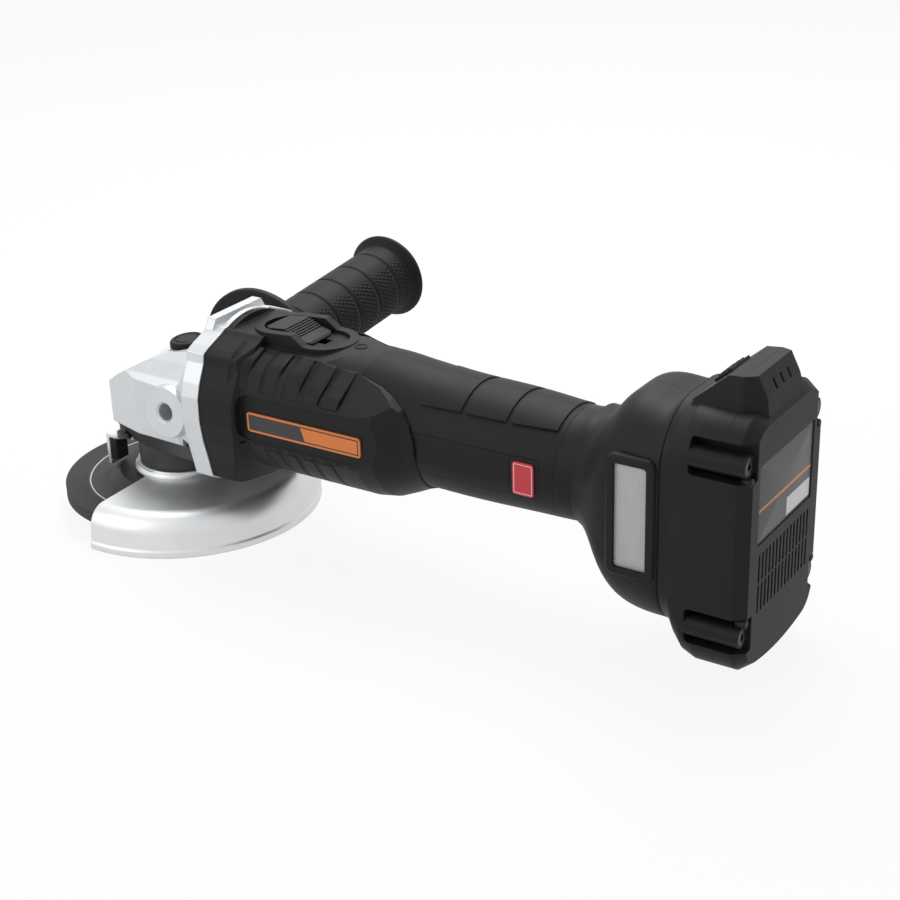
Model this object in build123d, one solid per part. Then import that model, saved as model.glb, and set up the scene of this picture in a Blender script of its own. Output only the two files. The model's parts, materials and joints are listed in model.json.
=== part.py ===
"""Cordless 115 mm angle grinder with side handle, guard, depressed-centre disc and slide-on battery.

Frame: the origin is on the spindle axis, at the outer face of the disc's lock nut. +X runs back to
the battery, +Y to the side handle and +Z up the spindle. All lengths are in millimetres.
"""
import os
from math import acos, atan2, cos, pi, radians, sin, tan

from build123d import *

os.makedirs("parts", exist_ok=True)

# ---- Disc and spindle ------------------------------------------------------------------------
disc_diameter = 115.0
disc_thickness = 6.0
disc_rise = 4.0            # the hub is pressed up by this much, so that the nut lies in a hollow
disc_bore = 22.23
hub_radius = 31.0          # flat hub
flank_radius = 37.0        # foot of the conical step round the hub
spindle_thread = 14.0
nut_flange = 3.7
nut_radius = 20.0
nut_spigot = 2.2
pin_circle = 30.0          # pin-spanner holes
pin_hole = 5.0
pin_count = 4
pin_depth = 2.8
thread_tip = 0.8           # the spindle ends this far inside the nut's face
inner_flange_radius = 17.0
inner_flange_height = 4.8
spindle_collar_radius = 9.0
bearing_bore = 15.0        # lower spindle bearing, 15 x 35 x 11
bearing_outer = 35.0
bearing_width = 11.0
spindle_tip_radius = 4.0   # upper journal

# ---- Gears -----------------------------------------------------------------------------------
crown_teeth = 27
pinion_teeth = 9
crown_pitch_radius = 17.0
gear_face = 6.0            # length of the teeth, measured along the crown's radius
tooth_share = 0.35         # tooth thickness as a share of the pitch
pressure_angle = 20.0
pinion_bore = 2.5          # radius
pinion_rear = 23.0
pinion_room = 7.4          # radius of the hollow round the pinion

# ---- Gear head -------------------------------------------------------------------------------
motor_height = 61.2        # motor axis above the origin
joint_height = 34.2        # joint between the gear housing and the bearing cover
neck_radius = 21.2
neck_bottom = 14.8
cover_bottom = 24.7
spigot_radius = 20.2       # the guard's collar turns on it
spigot_bottom = 11.0
head_front = 32.0          # front face, ahead of the spindle
head_half_width = 27.0
flange_front = 37.0
flange_rear = 46.5
cover_screw_x = 21.0
cover_screw_y = 17.5
flange_screw_y = 27.0
flange_screw_top = 21.0    # above the motor axis
flange_screw_low = 27.0    # below it
screw_radius = 2.0
screw_head_radius = 3.6
screw_head_height = 2.6
cover_rear = 36.6
cover_screw_seat = 28.5
upper_bush_radius = 6.5
front_bearing_x = 26.0     # 8 x 22 x 7
front_bearing_bore = 8.0
front_bearing_outer = 22.0
front_bearing_width = 7.0

# ---- Spindle lock ----------------------------------------------------------------------------
lock_x = 8.5
lock_top = 75.8
lock_length = 14.0         # oval button, along X
lock_width = 18.5
lock_travel = 2.4
lock_seat = 69.8           # floor of the button's well
lock_pin_radius = 1.75
lock_pin_circle = 9.0
lock_pin_angle = -30.0
lock_holes = 4
lock_spring_radius = 2.45
lock_spring_wire = 0.5

# ---- Side handle -----------------------------------------------------------------------------
handle_x = 17.65
handle_height = 50.7       # centre of the threaded holes' mouths
handle_face = 30.0         # mouth of each hole, from the middle plane
handle_tilt = 5.7          # the bosses and the handle rise outwards by this many degrees
handle_thread = 8.0
hole_depth = 14.0
boss_radius = 12.0
handle_length = 124.5      # from the hole's mouth to the end of the handle
handle_grip_radius = 18.0
stop_disc_radius = 36.0
end_flange_radius = 22.2
handle_core_radius = 14.0
handle_stud_nut = 6.5      # hexagon moulded into the core
groove_reaches = (38.5, 55.3, 72.5, 89.7, 107.0)

# ---- Guard -----------------------------------------------------------------------------------
guard_radius = 64.4
guard_sheet = 1.8
guard_top = 11.6
guard_bottom = -8.8
guard_cut = -3.5           # the guard covers what lies behind this X
collar_height = 14.4
collar_clearance = 0.08
guard_bend = 9.5           # radius of the shoulder
lug_count = 3              # bayonet lugs and notches
lever_x = -23.3            # pivot of the guard lever
lever_y = -8.8
lever_pin_radius = 1.8
lever_sheet = 1.8
tab_front = -34.0          # finger tab of the lever
tab_bottom = 8.6

# ---- Motor and housing -----------------------------------------------------------------------
barrel_radius = 35.5
barrel_flat = 34.2         # flat sides, from the middle plane
cavity_radius = 31.5
cavity_top = 86.6          # flat roof of the cavity under the switch
bulkhead_front = 104.0
bulkhead_rear = 112.0
stator_radius = 22.8
stator_bore = 12.0
stator_front = 66.0
stator_length = 28.0
stator_teeth = 6
coil_overhang = 3.4
air_gap = 0.8
shaft_radius = 4.0
fan_x = 49.5
fan_blades = 11
fan_radius = 24.9
rear_bearing_bore = 7.0    # 7 x 19 x 6
rear_bearing_outer = 19.0
rear_bearing_width = 6.0
seam_line = ((122.0, 106.0), (122.0, 84.5), (133.0, 82.3), (140.0, 79.5), (146.0, 76.0), (151.0, 70.5),
             (153.4, 64.0), (154.0, 50.0), (152.5, 38.0), (151.0, 22.0))   # side view of the rear edge
seam_radius = 28.8         # the housing's top falls to this radius at its rear edge
shoulder = 11.0            # the flat sides end this far above the motor's axis there
crown_radius = 53.6        # cross curve of the housing's top beside the switch
crown_top = 90.0
tail_profile = ((128.0, 35.5), (136.0, 34.2), (143.0, 31.2), (149.0, 28.4), (155.0, 26.4))
hood_front = 84.0         # the fall starts here
hood_rear = 112.0

# ---- Slide switch ----------------------------------------------------------------------------
# Height of the switch bed's rim from front to rear, as (x, z)
rim_line = ((50.0, 92.7), (82.0, 94.8), (88.5, 90.5), (130.0, 90.5))
switch_floor = 88.8
switch_half_width = 14.6
switch_front = 55.0
switch_rear = 105.0
switch_rim = 4.0
slider_front = 61.0
slider_rear = 88.0
slider_half_width = 9.0
slider_peak = (74.0, 94.8)
slider_fall = (82.0, 91.7)
slider_ribs = 6
slider_travel = 8.0
link_height = 86.0         # upper face of the link's front strip
link_sheet = 1.6
link_low = 80.6            # upper face of its rear strip
link_half_width = 2.4
link_step = 102.0
link_rear = 150.0

# ---- Grip and foot ---------------------------------------------------------------------------
grip_wall = 2.6
rubber = 1.4               # soft layer on the grip
plug_rear = 158.0
plug_front = 113.0         # the shells reach this far forward inside the housing
rubber_rear = 220.0
# Oval sections of the grip: x, half width, half height, centre height
grip_rows = ((112.0, 26.6, 27.0, 62.2), (135.0, 26.9, 27.3, 62.1), (155.0, 26.4, 26.1, 60.9),
             (172.0, 26.3, 25.7, 60.3), (191.0, 26.3, 25.2, 60.2), (209.0, 26.0, 24.2, 59.8),
             (228.0, 24.6, 24.3, 60.2))
# Sections of the foot: the same values and the corner radius
foot_rows = ((228.0, 24.6, 24.6, 60.3, 21.0), (234.0, 26.8, 27.2, 57.8, 22.0), (240.0, 30.5, 34.6, 55.8, 24.0),
             (246.0, 32.6, 42.6, 55.6, 26.0), (255.0, 33.9, 46.6, 55.5, 26.0), (271.5, 34.5, 48.2, 56.0, 26.0))
plug_radius = 23.6         # the shells' front end, inside the housing
foot_front = 228.0
foot_rear = 271.5          # mating plane of the battery
foot_wall = 2.8
foot_end_wall = 4.0
band_spans = ((153.0, 172.5), (175.0, 194.0), (196.5, 217.0))
band_height = 0.7
band_bottom = 79.0
panel_front = 152.5        # recessed panel on each side of the grip
panel_rear = 213.5
panel_bottom = 50.2
panel_top = 68.2
panel_floor = 25.3         # from the middle plane
badge_front = 201.5
badge_rear = 211.5
filter_width = 21.5
filter_height = 52.0
filter_x = 259.8
filter_z = 58.7
filter_frame = 3.6
filter_face = 36.0         # from the middle plane
filter_back = 32.2
filter_lip = 3.0
shell_screw_places = ((160.0, 44.5), (206.0, 44.5), (254.0, 22.0), (254.0, 92.0))
screw_boss = 3.8
board_z = 53.0
board_front = 166.0
board_rear = 200.0
board_half_width = 18.0
board_sheet = 1.6
microswitch_front = 159.0
microswitch_rear = 176.0
microswitch_half = 5.0

# ---- Battery ---------------------------------------------------------------------------------
battery_front = 271.8
battery_rear = 309.0
battery_split = 297.5      # joint between the base and the cover
battery_half_width = 35.8
battery_bottom = -2.8
bottom_crown = 4.2         # the underside rises this much towards its sides
battery_top = 106.0
battery_wall = 2.4
low_corner = 15.0
high_corner = 17.0
# The case grows out of the foot's outline: x and how far it has grown
nose_steps = ((battery_front, 0.0), (275.0, 0.12), (278.0, 0.5), (281.5, 0.82), (287.0, 1.0))
edge_start = 304.0         # the rear edges slope from here
edge_slope = 3.6
rail_half_width = 20.0
rail_lip = 3.0
rail_depth = 7.0
rail_sheet = 3.0
rail_bottom = 34.0
rail_top = 88.0
slide_clearance = 0.3
cell_diameter = 18.2
cell_length = 50.0
cell_count = 5
cell_pitch = 18.6
cell_low = 16.5            # height of the lowest cell
holder_bottom = 6.6
channel_rear = 282.4
cell_front = 284.4
blade_offsets = (-9.0, -3.0, 3.0, 9.0)
blade_sheet = 0.8
blade_tip = 280.4
blade_bottom = 62.0
blade_top = 80.0
boss_height = 89.7         # upper screw bosses of the battery
boss_low = 17.7
boss_y = 31.5
case_boss_radius = 4.6
recess_front = 284.0
recess_rear = 307.0
tower_front = 276.0
tower_half_width = 22.0
tower_taper = 12.5
ramp_foot = 277.0          # sloped front of the tower
ramp_foot_z = 106.0
ramp_top = 291.0
ramp_top_z = 118.0
tower_rear_top = 302.0
tower_rear_top_z = 119.0
tower_rear = 308.6
button_half_width = 8.0
button_length = 9.0
button_proud = 1.3
button_inside = 3.6
button_room = 8.6          # depth of its pocket, measured into the ramp
rear_panel_half = 25.5
rear_panel_bottom = 54.5
rear_panel_top = 88.0
slot_rows = (24.9, 37.8)   # lower ends of the two rows of slots
slot_length = 12.2
slot_count = 15
slot_pitch = 3.3
slot_width = 1.5
window_offsets = (-6.0, 0.5, 7.0)   # small windows in the tower's rear
window_depth = 303.2
window_bottom = 111.5

# ---- Values that follow ----------------------------------------------------------------------
disc_radius = disc_diameter / 2
disc_seat = nut_flange
flange_seat = disc_seat + disc_thickness
spindle_shoulder = flange_seat + inner_flange_height
bearing_bottom = spindle_shoulder + 3.3
bearing_top = bearing_bottom + bearing_width
pinion_pitch_radius = crown_pitch_radius * pinion_teeth / crown_teeth
gear_module = 2 * crown_pitch_radius / crown_teeth
tooth_width = tooth_share * pi * gear_module
addendum = 0.8 * gear_module
dedendum = 0.95 * gear_module
gear_toe = crown_pitch_radius - gear_face
toe_share = gear_toe / crown_pitch_radius
crown_slope = pinion_pitch_radius / crown_pitch_radius
crown_toe_z = motor_height - gear_toe * crown_slope - dedendum * toe_share
handle_out = Vector(0, cos(radians(handle_tilt)), sin(radians(handle_tilt)))
lock_pin_x = lock_pin_circle * cos(radians(lock_pin_angle))
lock_pin_y = lock_pin_circle * sin(radians(lock_pin_angle))
lock_base = lock_seat + lock_travel + 0.4
ramp_length = ((ramp_top - ramp_foot) ** 2 + (ramp_top_z - ramp_foot_z) ** 2) ** 0.5
ramp_along = Vector(ramp_top - ramp_foot, 0, ramp_top_z - ramp_foot_z) * (1 / ramp_length)
press_down = Vector(ramp_along.Z, 0, -ramp_along.X)
BIG = 400.0

def box(x0, x1, y0, y1, z0, z1):
    """Return the block between the given limits."""
    middle = ((x0 + x1) / 2, (y0 + y1) / 2, (z0 + z1) / 2)
    return Pos(*middle) * Box(x1 - x0, y1 - y0, z1 - z0)


def ring(outer, inner, z0, z1):
    """Return a ring round the spindle axis."""
    face = Circle(outer) - Circle(inner) if inner else Circle(outer)
    return Pos(0, 0, z0) * extrude(face, z1 - z0)


def rod(x0, x1, radius, y=0.0, z=motor_height):
    """Return a cylinder along X."""
    base = Plane(origin=(x0, y, z), z_dir=(1, 0, 0))
    return extrude(base * Circle(radius), x1 - x0)


def spun(points):
    """Turn a profile of (radius, height) points round the spindle axis."""
    return revolve(make_face(Plane.XZ * Polyline(*points, close=True)), Axis.Z)


def barrel(points):
    """Turn a profile of (x, radius) points round the motor axis."""
    lifted = [(x, 0, motor_height + radius) for x, radius in points]
    face = make_face(Polyline(*lifted, close=True))
    return revolve(face, Axis((0, 0, motor_height), (1, 0, 0)))


def outline(points, radius=0.0):
    """Return a closed outline as a sketch, its corners rounded by the radius."""
    sketch = make_face(Polyline(*points, close=True))
    return fillet(sketch.vertices(), radius) if radius else sketch


def facing(x, z=motor_height):
    """Return the plane across X at the given place, with +Y to the right and +Z up."""
    return Plane(origin=(x, 0, z), x_dir=(0, 1, 0), z_dir=(1, 0, 0))


def across(points, x0, x1, z=motor_height, radius=0.0):
    """Extrude a front view outline of (y, height above z) points from x0 to x1."""
    return extrude(facing(x0, z) * outline(points, radius), x1 - x0)


def full(half):
    """Mirror a half outline that starts and ends on the middle line."""
    return half + [(-y, z) for y, z in reversed(half[1:-1])]


def about_motor(shape, angle):
    """Turn a shape round the motor axis."""
    return Pos(0, 0, motor_height) * Rot(angle, 0, 0) * Pos(0, 0, -motor_height) * shape


def joined(shapes):
    """Fuse the shapes, or gather them as separate solids where they do not touch."""
    whole = None
    for shape in shapes:
        whole = shape if whole is None else whole + shape
    return whole


def sideways(points, half_width):
    """Extrude a side view outline of (x, z) points to both sides of the middle plane."""
    return extrude(make_face(Plane.XZ * Polyline(*points, close=True)), half_width, both=True)


def tube(rows, shrink=0.0):
    """Loft oval or rounded sections, each smaller by shrink all round, into one smooth body."""
    faces = []
    for x, half_width, half_height, z, *corner in rows:
        wide = half_width - shrink
        tall = half_height - shrink
        shape = RectangleRounded(2 * wide, 2 * tall, corner[0] - shrink) if corner else Ellipse(wide, tall)
        faces.append(facing(x, z) * shape)
    return loft(faces)


def upright(x, y, z0, z1, radius):
    """Return a cylinder along Z."""
    return Pos(x, y, z0) * Cylinder(radius, z1 - z0, align=(Align.CENTER, Align.CENTER, Align.MIN))


def crosswise(x, z, y0, y1, radius):
    """Return a cylinder along Y."""
    return extrude(Plane(origin=(x, y0, z), z_dir=(0, 1, 0)) * Circle(radius), y1 - y0)


def screw(tip, direction, length, radius=screw_radius, head=screw_head_radius, height=screw_head_height):
    """Return a socket screw whose head seats at the tip plus its length."""
    plane = Plane(origin=tip, z_dir=direction)
    body = extrude(plane * Circle(radius), length)
    top = plane.offset(length)
    body += extrude(top * Circle(head), height)
    body -= extrude(top.offset(height) * RegularPolygon(head * 0.5, 6), -height * 0.6)
    return body


def ball_bearing(plane, bore, outer, width):
    """Return a ball bearing as its two races, joined by the shields."""
    middle = (bore + outer) / 4
    body = extrude(plane * (Circle(outer / 2) - Circle(bore / 2)), width)
    groove = Circle(middle + outer / 20) - Circle(middle - outer / 20)
    body -= extrude(plane * groove, 0.8)
    body -= extrude(plane.offset(width) * groove, -0.8)
    return body


def spring(plane, radius, wire, length, turns):
    """Return a round-wire coil spring that stands on the plane."""
    path = Helix(pitch=length / turns, height=length, radius=radius)
    coil = sweep(Plane(origin=path @ 0, z_dir=path % 0) * Circle(wire / 2), path=path, is_frenet=True)
    return plane * coil


def handle_plane(side, reach=0.0):
    """Return the plane across a handle hole, at the given reach outside its mouth."""
    out = Vector(0, side * handle_out.Y, handle_out.Z)
    mouth = Vector(handle_x, side * handle_face, handle_height)
    return Plane(origin=mouth + out * reach, x_dir=(1, 0, 0), z_dir=out)


# ---- Disc, nut, flange and spindle -----------------------------------------------------------

def grinding_disc():
    """Depressed-centre grinding disc: a flat rim, a conical step and a raised flat hub."""
    rim_bottom = disc_seat - disc_rise
    profile = [(disc_bore / 2, flange_seat), (hub_radius, flange_seat), (flank_radius, flange_seat - disc_rise),
               (disc_radius, flange_seat - disc_rise), (disc_radius, rim_bottom), (flank_radius - 2, rim_bottom),
               (hub_radius - 2, disc_seat), (disc_bore / 2, disc_seat)]
    return spun(profile)


def lock_nut():
    """Round nut with four pin-spanner holes and a spigot that centres the disc."""
    spigot = disc_bore / 2 - 0.1
    body = spun([(spindle_thread / 2, 0), (nut_radius - 0.8, 0), (nut_radius, 0.8), (nut_radius, nut_flange),
                 (spigot, nut_flange), (spigot, nut_flange + nut_spigot), (spindle_thread / 2, nut_flange + nut_spigot)])
    for location in PolarLocations(pin_circle / 2, pin_count):
        body -= location * upright(0, 0, -0.01, pin_depth, pin_hole / 2)
    return body


def inner_flange():
    """Clamping flange between the disc and the spindle's shoulder, with a boss in the disc's bore."""
    bore = spindle_thread / 2
    boss = disc_bore / 2 - 0.1
    return spun([(bore, disc_seat + nut_spigot + 0.4), (boss, disc_seat + nut_spigot + 0.4),
                 (boss, flange_seat),
                 (inner_flange_radius, flange_seat), (inner_flange_radius, spindle_shoulder - 1.5),
                 (inner_flange_radius - 4, spindle_shoulder), (bore, spindle_shoulder)])


def spindle():
    """Output spindle with its threaded end down, a collar, two journals and the gear seat."""
    thread = spindle_thread / 2 - 0.03
    journal = bearing_bore / 2 - 0.03
    gear_top = motor_height - 2.2
    return spun([(0, thread_tip), (thread - 1, thread_tip), (thread, thread_tip + 1), (thread, spindle_shoulder),
                 (spindle_collar_radius, spindle_shoulder), (spindle_collar_radius, bearing_bottom - 0.2),
                 (journal, bearing_bottom - 0.2), (journal, bearing_top), (thread, bearing_top),
                 (thread, gear_top - 3), (spindle_tip_radius, gear_top - 3),
                 (spindle_tip_radius, motor_height + 6.2), (0, motor_height + 6.2)])


def bevel_teeth(count, along, start, heel_along, heel_out, first):
    """Return straight bevel teeth that all point at the apex where the two gear axes cross.

    along is the gear's axis, start its zero direction, and the heel of a tooth lies heel_along
    down the axis and heel_out away from it. first is the angle of the first tooth in degrees.
    """
    apex = Vector(0, 0, motor_height)
    side = along.cross(start)
    slant = (heel_along ** 2 + heel_out ** 2) ** 0.5
    teeth = []
    for index in range(count):
        angle = radians(first + 360 * index / count)
        out = start * cos(angle) + side * sin(angle)
        across_tooth = out.cross(along)
        heel = along * heel_along + out * heel_out
        rise = (out * heel_along - along * heel_out) * (1 / slant)
        corners = []
        for height, sign in ((-dedendum - 0.4, -1), (addendum, -1), (addendum, 1), (-dedendum - 0.4, 1)):
            half = tooth_width / 2 - height * tan(radians(pressure_angle))
            corners.append(heel + rise * height + across_tooth * (sign * half))
        wires = [Wire(Polyline(*[apex + c * share for c in corners], close=True).edges())
                 for share in (1, toe_share)]
        teeth.append(Solid.make_loft(wires, True))
    return teeth


def crown_gear():
    """Crown wheel on the spindle, with lock holes in its top."""
    bore = spindle_thread / 2
    heel_z = motor_height - pinion_pitch_radius - dedendum
    rim = crown_pitch_radius - dedendum * crown_slope
    body = spun([(bore, bearing_top + 0.3), (10, bearing_top + 0.3), (10, heel_z - 9), (rim, heel_z - 5),
                 (rim, heel_z),
                 (gear_toe - 0.3, crown_toe_z), (bore, crown_toe_z)])
    body += bevel_teeth(crown_teeth, Vector(0, 0, -1), Vector(1, 0, 0), pinion_pitch_radius,
                        crown_pitch_radius, 0)
    for location in PolarLocations(lock_pin_circle, lock_holes, lock_pin_angle):
        body -= location * upright(0, 0, crown_toe_z - 10, crown_toe_z + 1, lock_pin_radius + 0.35)
    return body


def pinion():
    """Pinion on the front end of the motor shaft."""
    root = pinion_pitch_radius - dedendum
    heel = crown_pitch_radius
    collar = pinion_pitch_radius + 0.2
    body = barrel([(gear_toe, 0), (gear_toe, root * toe_share), (heel + 0.6, root), (heel + 1.6, collar),
                   (pinion_rear, collar), (pinion_rear, pinion_bore), (gear_toe + 3.2, pinion_bore),
                   (gear_toe + 3.2, 0)])
    return body + bevel_teeth(pinion_teeth, Vector(1, 0, 0), Vector(0, 0, -1), heel, pinion_pitch_radius,
                              180 / pinion_teeth)


# ---- Gear head -------------------------------------------------------------------------------

def head_plan(shrink=0.0):
    """Plan outline of the gear head: flat front, two angled corners and nearly parallel sides."""
    front = -head_front + shrink
    side = head_half_width - shrink
    return [(front, 9.5 - shrink / 2), (front + 6.5, side - 7.5), (-4, side - 1.5), (flange_front, side)]


def closed_plan(shrink=0.0, rear=flange_front):
    """Return the whole plan outline, closed at the given X."""
    half = head_plan(shrink)[:3] + [(rear, head_half_width - shrink)]
    return half + [(x, -y) for x, y in reversed(half)]


def flange_outline(crown=35.0, shrink=0.0):
    """Front view of the rear flange: two upper ears, bulged sides, a deep foot and a top crown."""
    half = [(0, crown), (16, crown), (19, 30), (28, 26.5), (32, 24.5), (32.8, 20), (36.8, 11.5), (38.8, 5),
            (39, -6), (37.5, -16), (35, -26), (33, -35), (28, -37.5), (0, -37.5)]
    return [(max(y - shrink, 0) if y else 0, z - shrink * (1 if z > 0 else -1)) for y, z in half]


def gear_housing():
    """Die-cast gear housing: faceted head, canted handle bosses and a lobed rear flange."""
    plan = extrude(Pos(0, 0, joint_height) * outline(closed_plan(0, flange_front + 2), 1.5), 50)
    side = sideways([(-head_front - 1, joint_height), (-head_front - 1, 44.5), (-29.5, 51.7), (-16, 60.9),
                     (-1.4, 69.0), (8, 72.7), (flange_front + 2, 76.5), (flange_front + 2, joint_height)], 45)
    front = across(full([(0, 15.2), (8, 14), (17, 9), (23.5, 3.5), (27, -1.5), (27, joint_height - motor_height),
                         (0, joint_height - motor_height)]), -head_front - 2, flange_front + 1)
    body = plan & side & front
    for side_sign in (1, -1):
        plane = handle_plane(side_sign)
        boss = extrude(plane * Circle(boss_radius), -16, taper=-8)
        body += boss & box(-20, flange_front + 1, -40, 40, joint_height, 80)
    narrow = facing(22) * outline(full([(0, 14), (17, 9), (26.5, 0), (26.5, -26.5), (0, -26.5)]))
    wide = facing(flange_front + 0.5) * outline(full([(0, 24), (22, 20), (31, 8), (32, -26.5), (0, -26.5)]))
    body += loft([narrow, wide], ruled=True)
    body += across(full(flange_outline()), flange_front, flange_rear - 5, radius=1.2)
    body += across(full(flange_outline(31.5)), flange_rear - 6, flange_rear, radius=1.2)
    body += rod(flange_rear - 2.5, flange_rear, 34.6)
    body -= rod(flange_front + 3, flange_rear + 1, 30.5)
    body -= gear_chamber()
    for side_sign in (1, -1):
        plane = handle_plane(side_sign)
        body -= extrude(plane.offset(1) * Circle(handle_thread / 2), -hole_depth - 1)
        body -= extrude(plane * Circle(handle_thread / 2 + 1), -1.0, taper=45)
    body -= lock_well()
    for y, z in flange_screw_places():
        body -= rod(flange_front - 8, flange_rear + 1, screw_radius + 0.15, y, z)
        body -= rod(flange_front - 12, flange_front + 2.5, screw_head_radius + 0.5, y, z)
    for x, y in cover_screw_places():
        body -= upright(x, y, joint_height - 1, joint_height + 9, screw_radius + 0.05)
    return body


def flange_screw_places():
    """Return Y and Z of the four flange screws."""
    heights = (motor_height + flange_screw_top, motor_height - flange_screw_low)
    return [(y, z) for y in (flange_screw_y, -flange_screw_y) for z in heights]


def cover_screw_places():
    """Return X and Y of the four cover screws."""
    return [(x, y) for x in (-cover_screw_x, cover_screw_x) for y in (-cover_screw_y, cover_screw_y)]


def gear_chamber():
    """Hollow for the gears, the pinion, its bearing and the spindle's upper bush."""
    hollow = spun([(0, joint_height - 1), (21.5, joint_height - 1), (21.5, 48.5), (18.6, 53.0), (18.6, 56.2),
                   (12, 59.5), (12, 60.2), (0, 60.2)])
    hollow += rod(0, front_bearing_x - 0.2, pinion_room)
    hollow += rod(front_bearing_x - 0.2, flange_front + 4, front_bearing_outer / 2)
    hollow += ring(upper_bush_radius, 0, 60, motor_height + 6.6)
    return hollow


def lock_well():
    """Pocket for the lock button with the pin's hole under it."""
    oval = Ellipse(lock_length / 2 + 0.35, lock_width / 2 + 0.35)
    well = Pos(lock_x, 0, lock_seat) * extrude(oval, 20)
    return well + upright(lock_pin_x, lock_pin_y, 55, lock_seat + 1, lock_pin_radius + 0.1)


def lock_button():
    """Oval push button of the spindle lock, with a C-shaped groove in its top."""
    long = lock_length / 2
    wide = lock_width / 2
    body = Pos(lock_x, 0, lock_base) * extrude(Ellipse(long, wide), lock_top - lock_base)
    body = fillet(body.faces().sort_by(Axis.Z)[-1].edges(), 1.2)
    groove = Ellipse(long - 1.9, wide - 2.4) - Ellipse(long - 2.8, wide - 3.3) - Pos(4, 0) * Rectangle(8, 8)
    body -= Pos(lock_x, 0, lock_top - 0.6) * extrude(groove, 2)
    return body - upright(lock_pin_x, lock_pin_y, lock_base - 1, lock_base + 2, lock_spring_radius + 0.45)


def lock_pin():
    """Steel pin under the lock button; pressed, it enters a hole of the crown gear."""
    return upright(lock_pin_x, lock_pin_y, crown_toe_z + 0.6, lock_base + 2, lock_pin_radius)


def lock_spring():
    """Return spring of the lock button, round the pin."""
    wire = lock_spring_wire
    foot = Plane(origin=(lock_pin_x, lock_pin_y, lock_seat + wire / 2))
    return spring(foot, lock_spring_radius, wire, lock_base + 2 - lock_seat - wire, 4)


def bearing_cover():
    """Lower cover of the gear head, with the bearing's neck and the guard's spigot."""
    upper = Pos(0, 0, joint_height) * outline(closed_plan(0.6, cover_rear), 1.5)
    lower = Pos(0, 0, cover_bottom) * outline(closed_plan(5.0, cover_rear - 5), 1.5)
    body = loft([lower, upper], ruled=True)
    body += spun([(0, spigot_bottom), (spigot_radius, spigot_bottom), (spigot_radius, neck_bottom),
                  (neck_radius - 0.6, neck_bottom), (neck_radius, neck_bottom + 0.6),
                  (neck_radius, cover_bottom + 1), (0, cover_bottom + 1)])
    room = inner_flange_radius + 0.9
    collar = spindle_collar_radius + 0.6
    seat = bearing_outer / 2
    body -= spun([(0, spigot_bottom - 1), (room, spigot_bottom - 1), (room, spindle_shoulder + 0.9),
                  (collar, spindle_shoulder + 0.9), (collar, bearing_bottom), (seat, bearing_bottom),
                  (seat, bearing_top + 1.6), (21.5, bearing_top + 1.6), (21.5, joint_height + 1),
                  (0, joint_height + 1)])
    body -= ring(spigot_radius + 1, spigot_radius - 1.1, 11.9, 13.4)
    for location in PolarLocations(spigot_radius, lug_count, 60):
        body -= location * Pos(0, 0, 11.2) * Box(2.2, 9.4, 2.4)
    for x, y in cover_screw_places():
        body -= upright(x, y, 20, 40, screw_radius + 0.1)
        body -= upright(x, y, 16, cover_screw_seat, screw_head_radius + 0.4)
    return body - upright(lever_x, lever_y, cover_bottom - 1, cover_bottom + 4, lever_pin_radius)


def cover_screws():
    """Four screws that hold the bearing cover from below."""
    tip = joint_height + 8.5
    return joined([screw((x, y, tip), (0, 0, -1), tip - cover_screw_seat) for x, y in cover_screw_places()])


def flange_screws():
    """Four screws through the flange's corners into the motor housing."""
    tip = flange_rear + 13
    length = tip - flange_front - 2.5
    return joined([screw((tip, y, z), (-1, 0, 0), length) for y, z in flange_screw_places()])


def spindle_bearing():
    """Lower spindle bearing, pressed into the neck."""
    return ball_bearing(Plane(origin=(0, 0, bearing_bottom)), bearing_bore, bearing_outer - 0.04, bearing_width)


def bearing_clip():
    """Spring ring above the spindle bearing."""
    clip = ring(bearing_outer / 2 - 0.05, bearing_outer / 2 - 2.5, bearing_top, bearing_top + 1.2)
    return clip - box(0, 30, -4, 4, 0, 60)


def upper_bush():
    """Bush in the gear housing's roof for the spindle's upper journal."""
    bush = ring(upper_bush_radius - 0.02, spindle_tip_radius + 0.04, 60.4, motor_height + 6.5)
    return bush - rod(3.2, 12, pinion_room)


# ---- Guard -----------------------------------------------------------------------------------

def guard():
    """Deep-drawn guard: a collar on the spigot, a dished top, a rounded shoulder and a rimmed skirt."""
    collar_in = spigot_radius + collar_clearance
    collar_out = collar_in + 2.0
    t = guard_sheet
    r = guard_radius
    bend = guard_bend
    top = guard_top - 0.8
    outer = Polyline((collar_in, guard_top - 0.9), (collar_in, collar_height), (collar_out, collar_height),
                     (collar_out, guard_top + 1.2), (collar_out + 1.2, guard_top), (r - bend, top))
    shoulder = ThreePointArc((r - bend, top), (r - 0.8 - 0.29 * bend, top - 0.29 * bend), (r - 0.8, top - bend))
    skirt = Polyline((r - 0.8, top - bend), (r - 0.2, guard_bottom + 3.6), (r + 0.6, guard_bottom + 2.8),
                     (r + 0.6, guard_bottom), (r - t, guard_bottom), (r - t, guard_bottom + 3.2),
                     (r - 0.8 - t, top - bend))
    inner = ThreePointArc((r - 0.8 - t, top - bend),
                          (r - 0.8 - 0.29 * bend - 0.75 * t, top - 0.29 * bend - 0.65 * t),
                          (r - bend, top - t))
    last = Line((r - bend, top - t), (collar_in, guard_top - 0.9))
    face = make_face(Plane.XZ * (outer + shoulder + skirt + inner + last))
    shell = revolve(face, Axis.Z)
    core = ring(collar_out + 1.5, 0, -20, 40)
    shell -= box(-BIG, guard_cut, -BIG, BIG, guard_bottom - 5, guard_top + 0.3) - core
    for location in PolarLocations(spigot_radius, lug_count, 0):
        lug = location * Pos(-0.2, 0, 12.65) * Box(1.4, 8, 1.2)
        shell += lug - ring(spigot_radius - 0.9, 0, 0, 30)
    return shell


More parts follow.
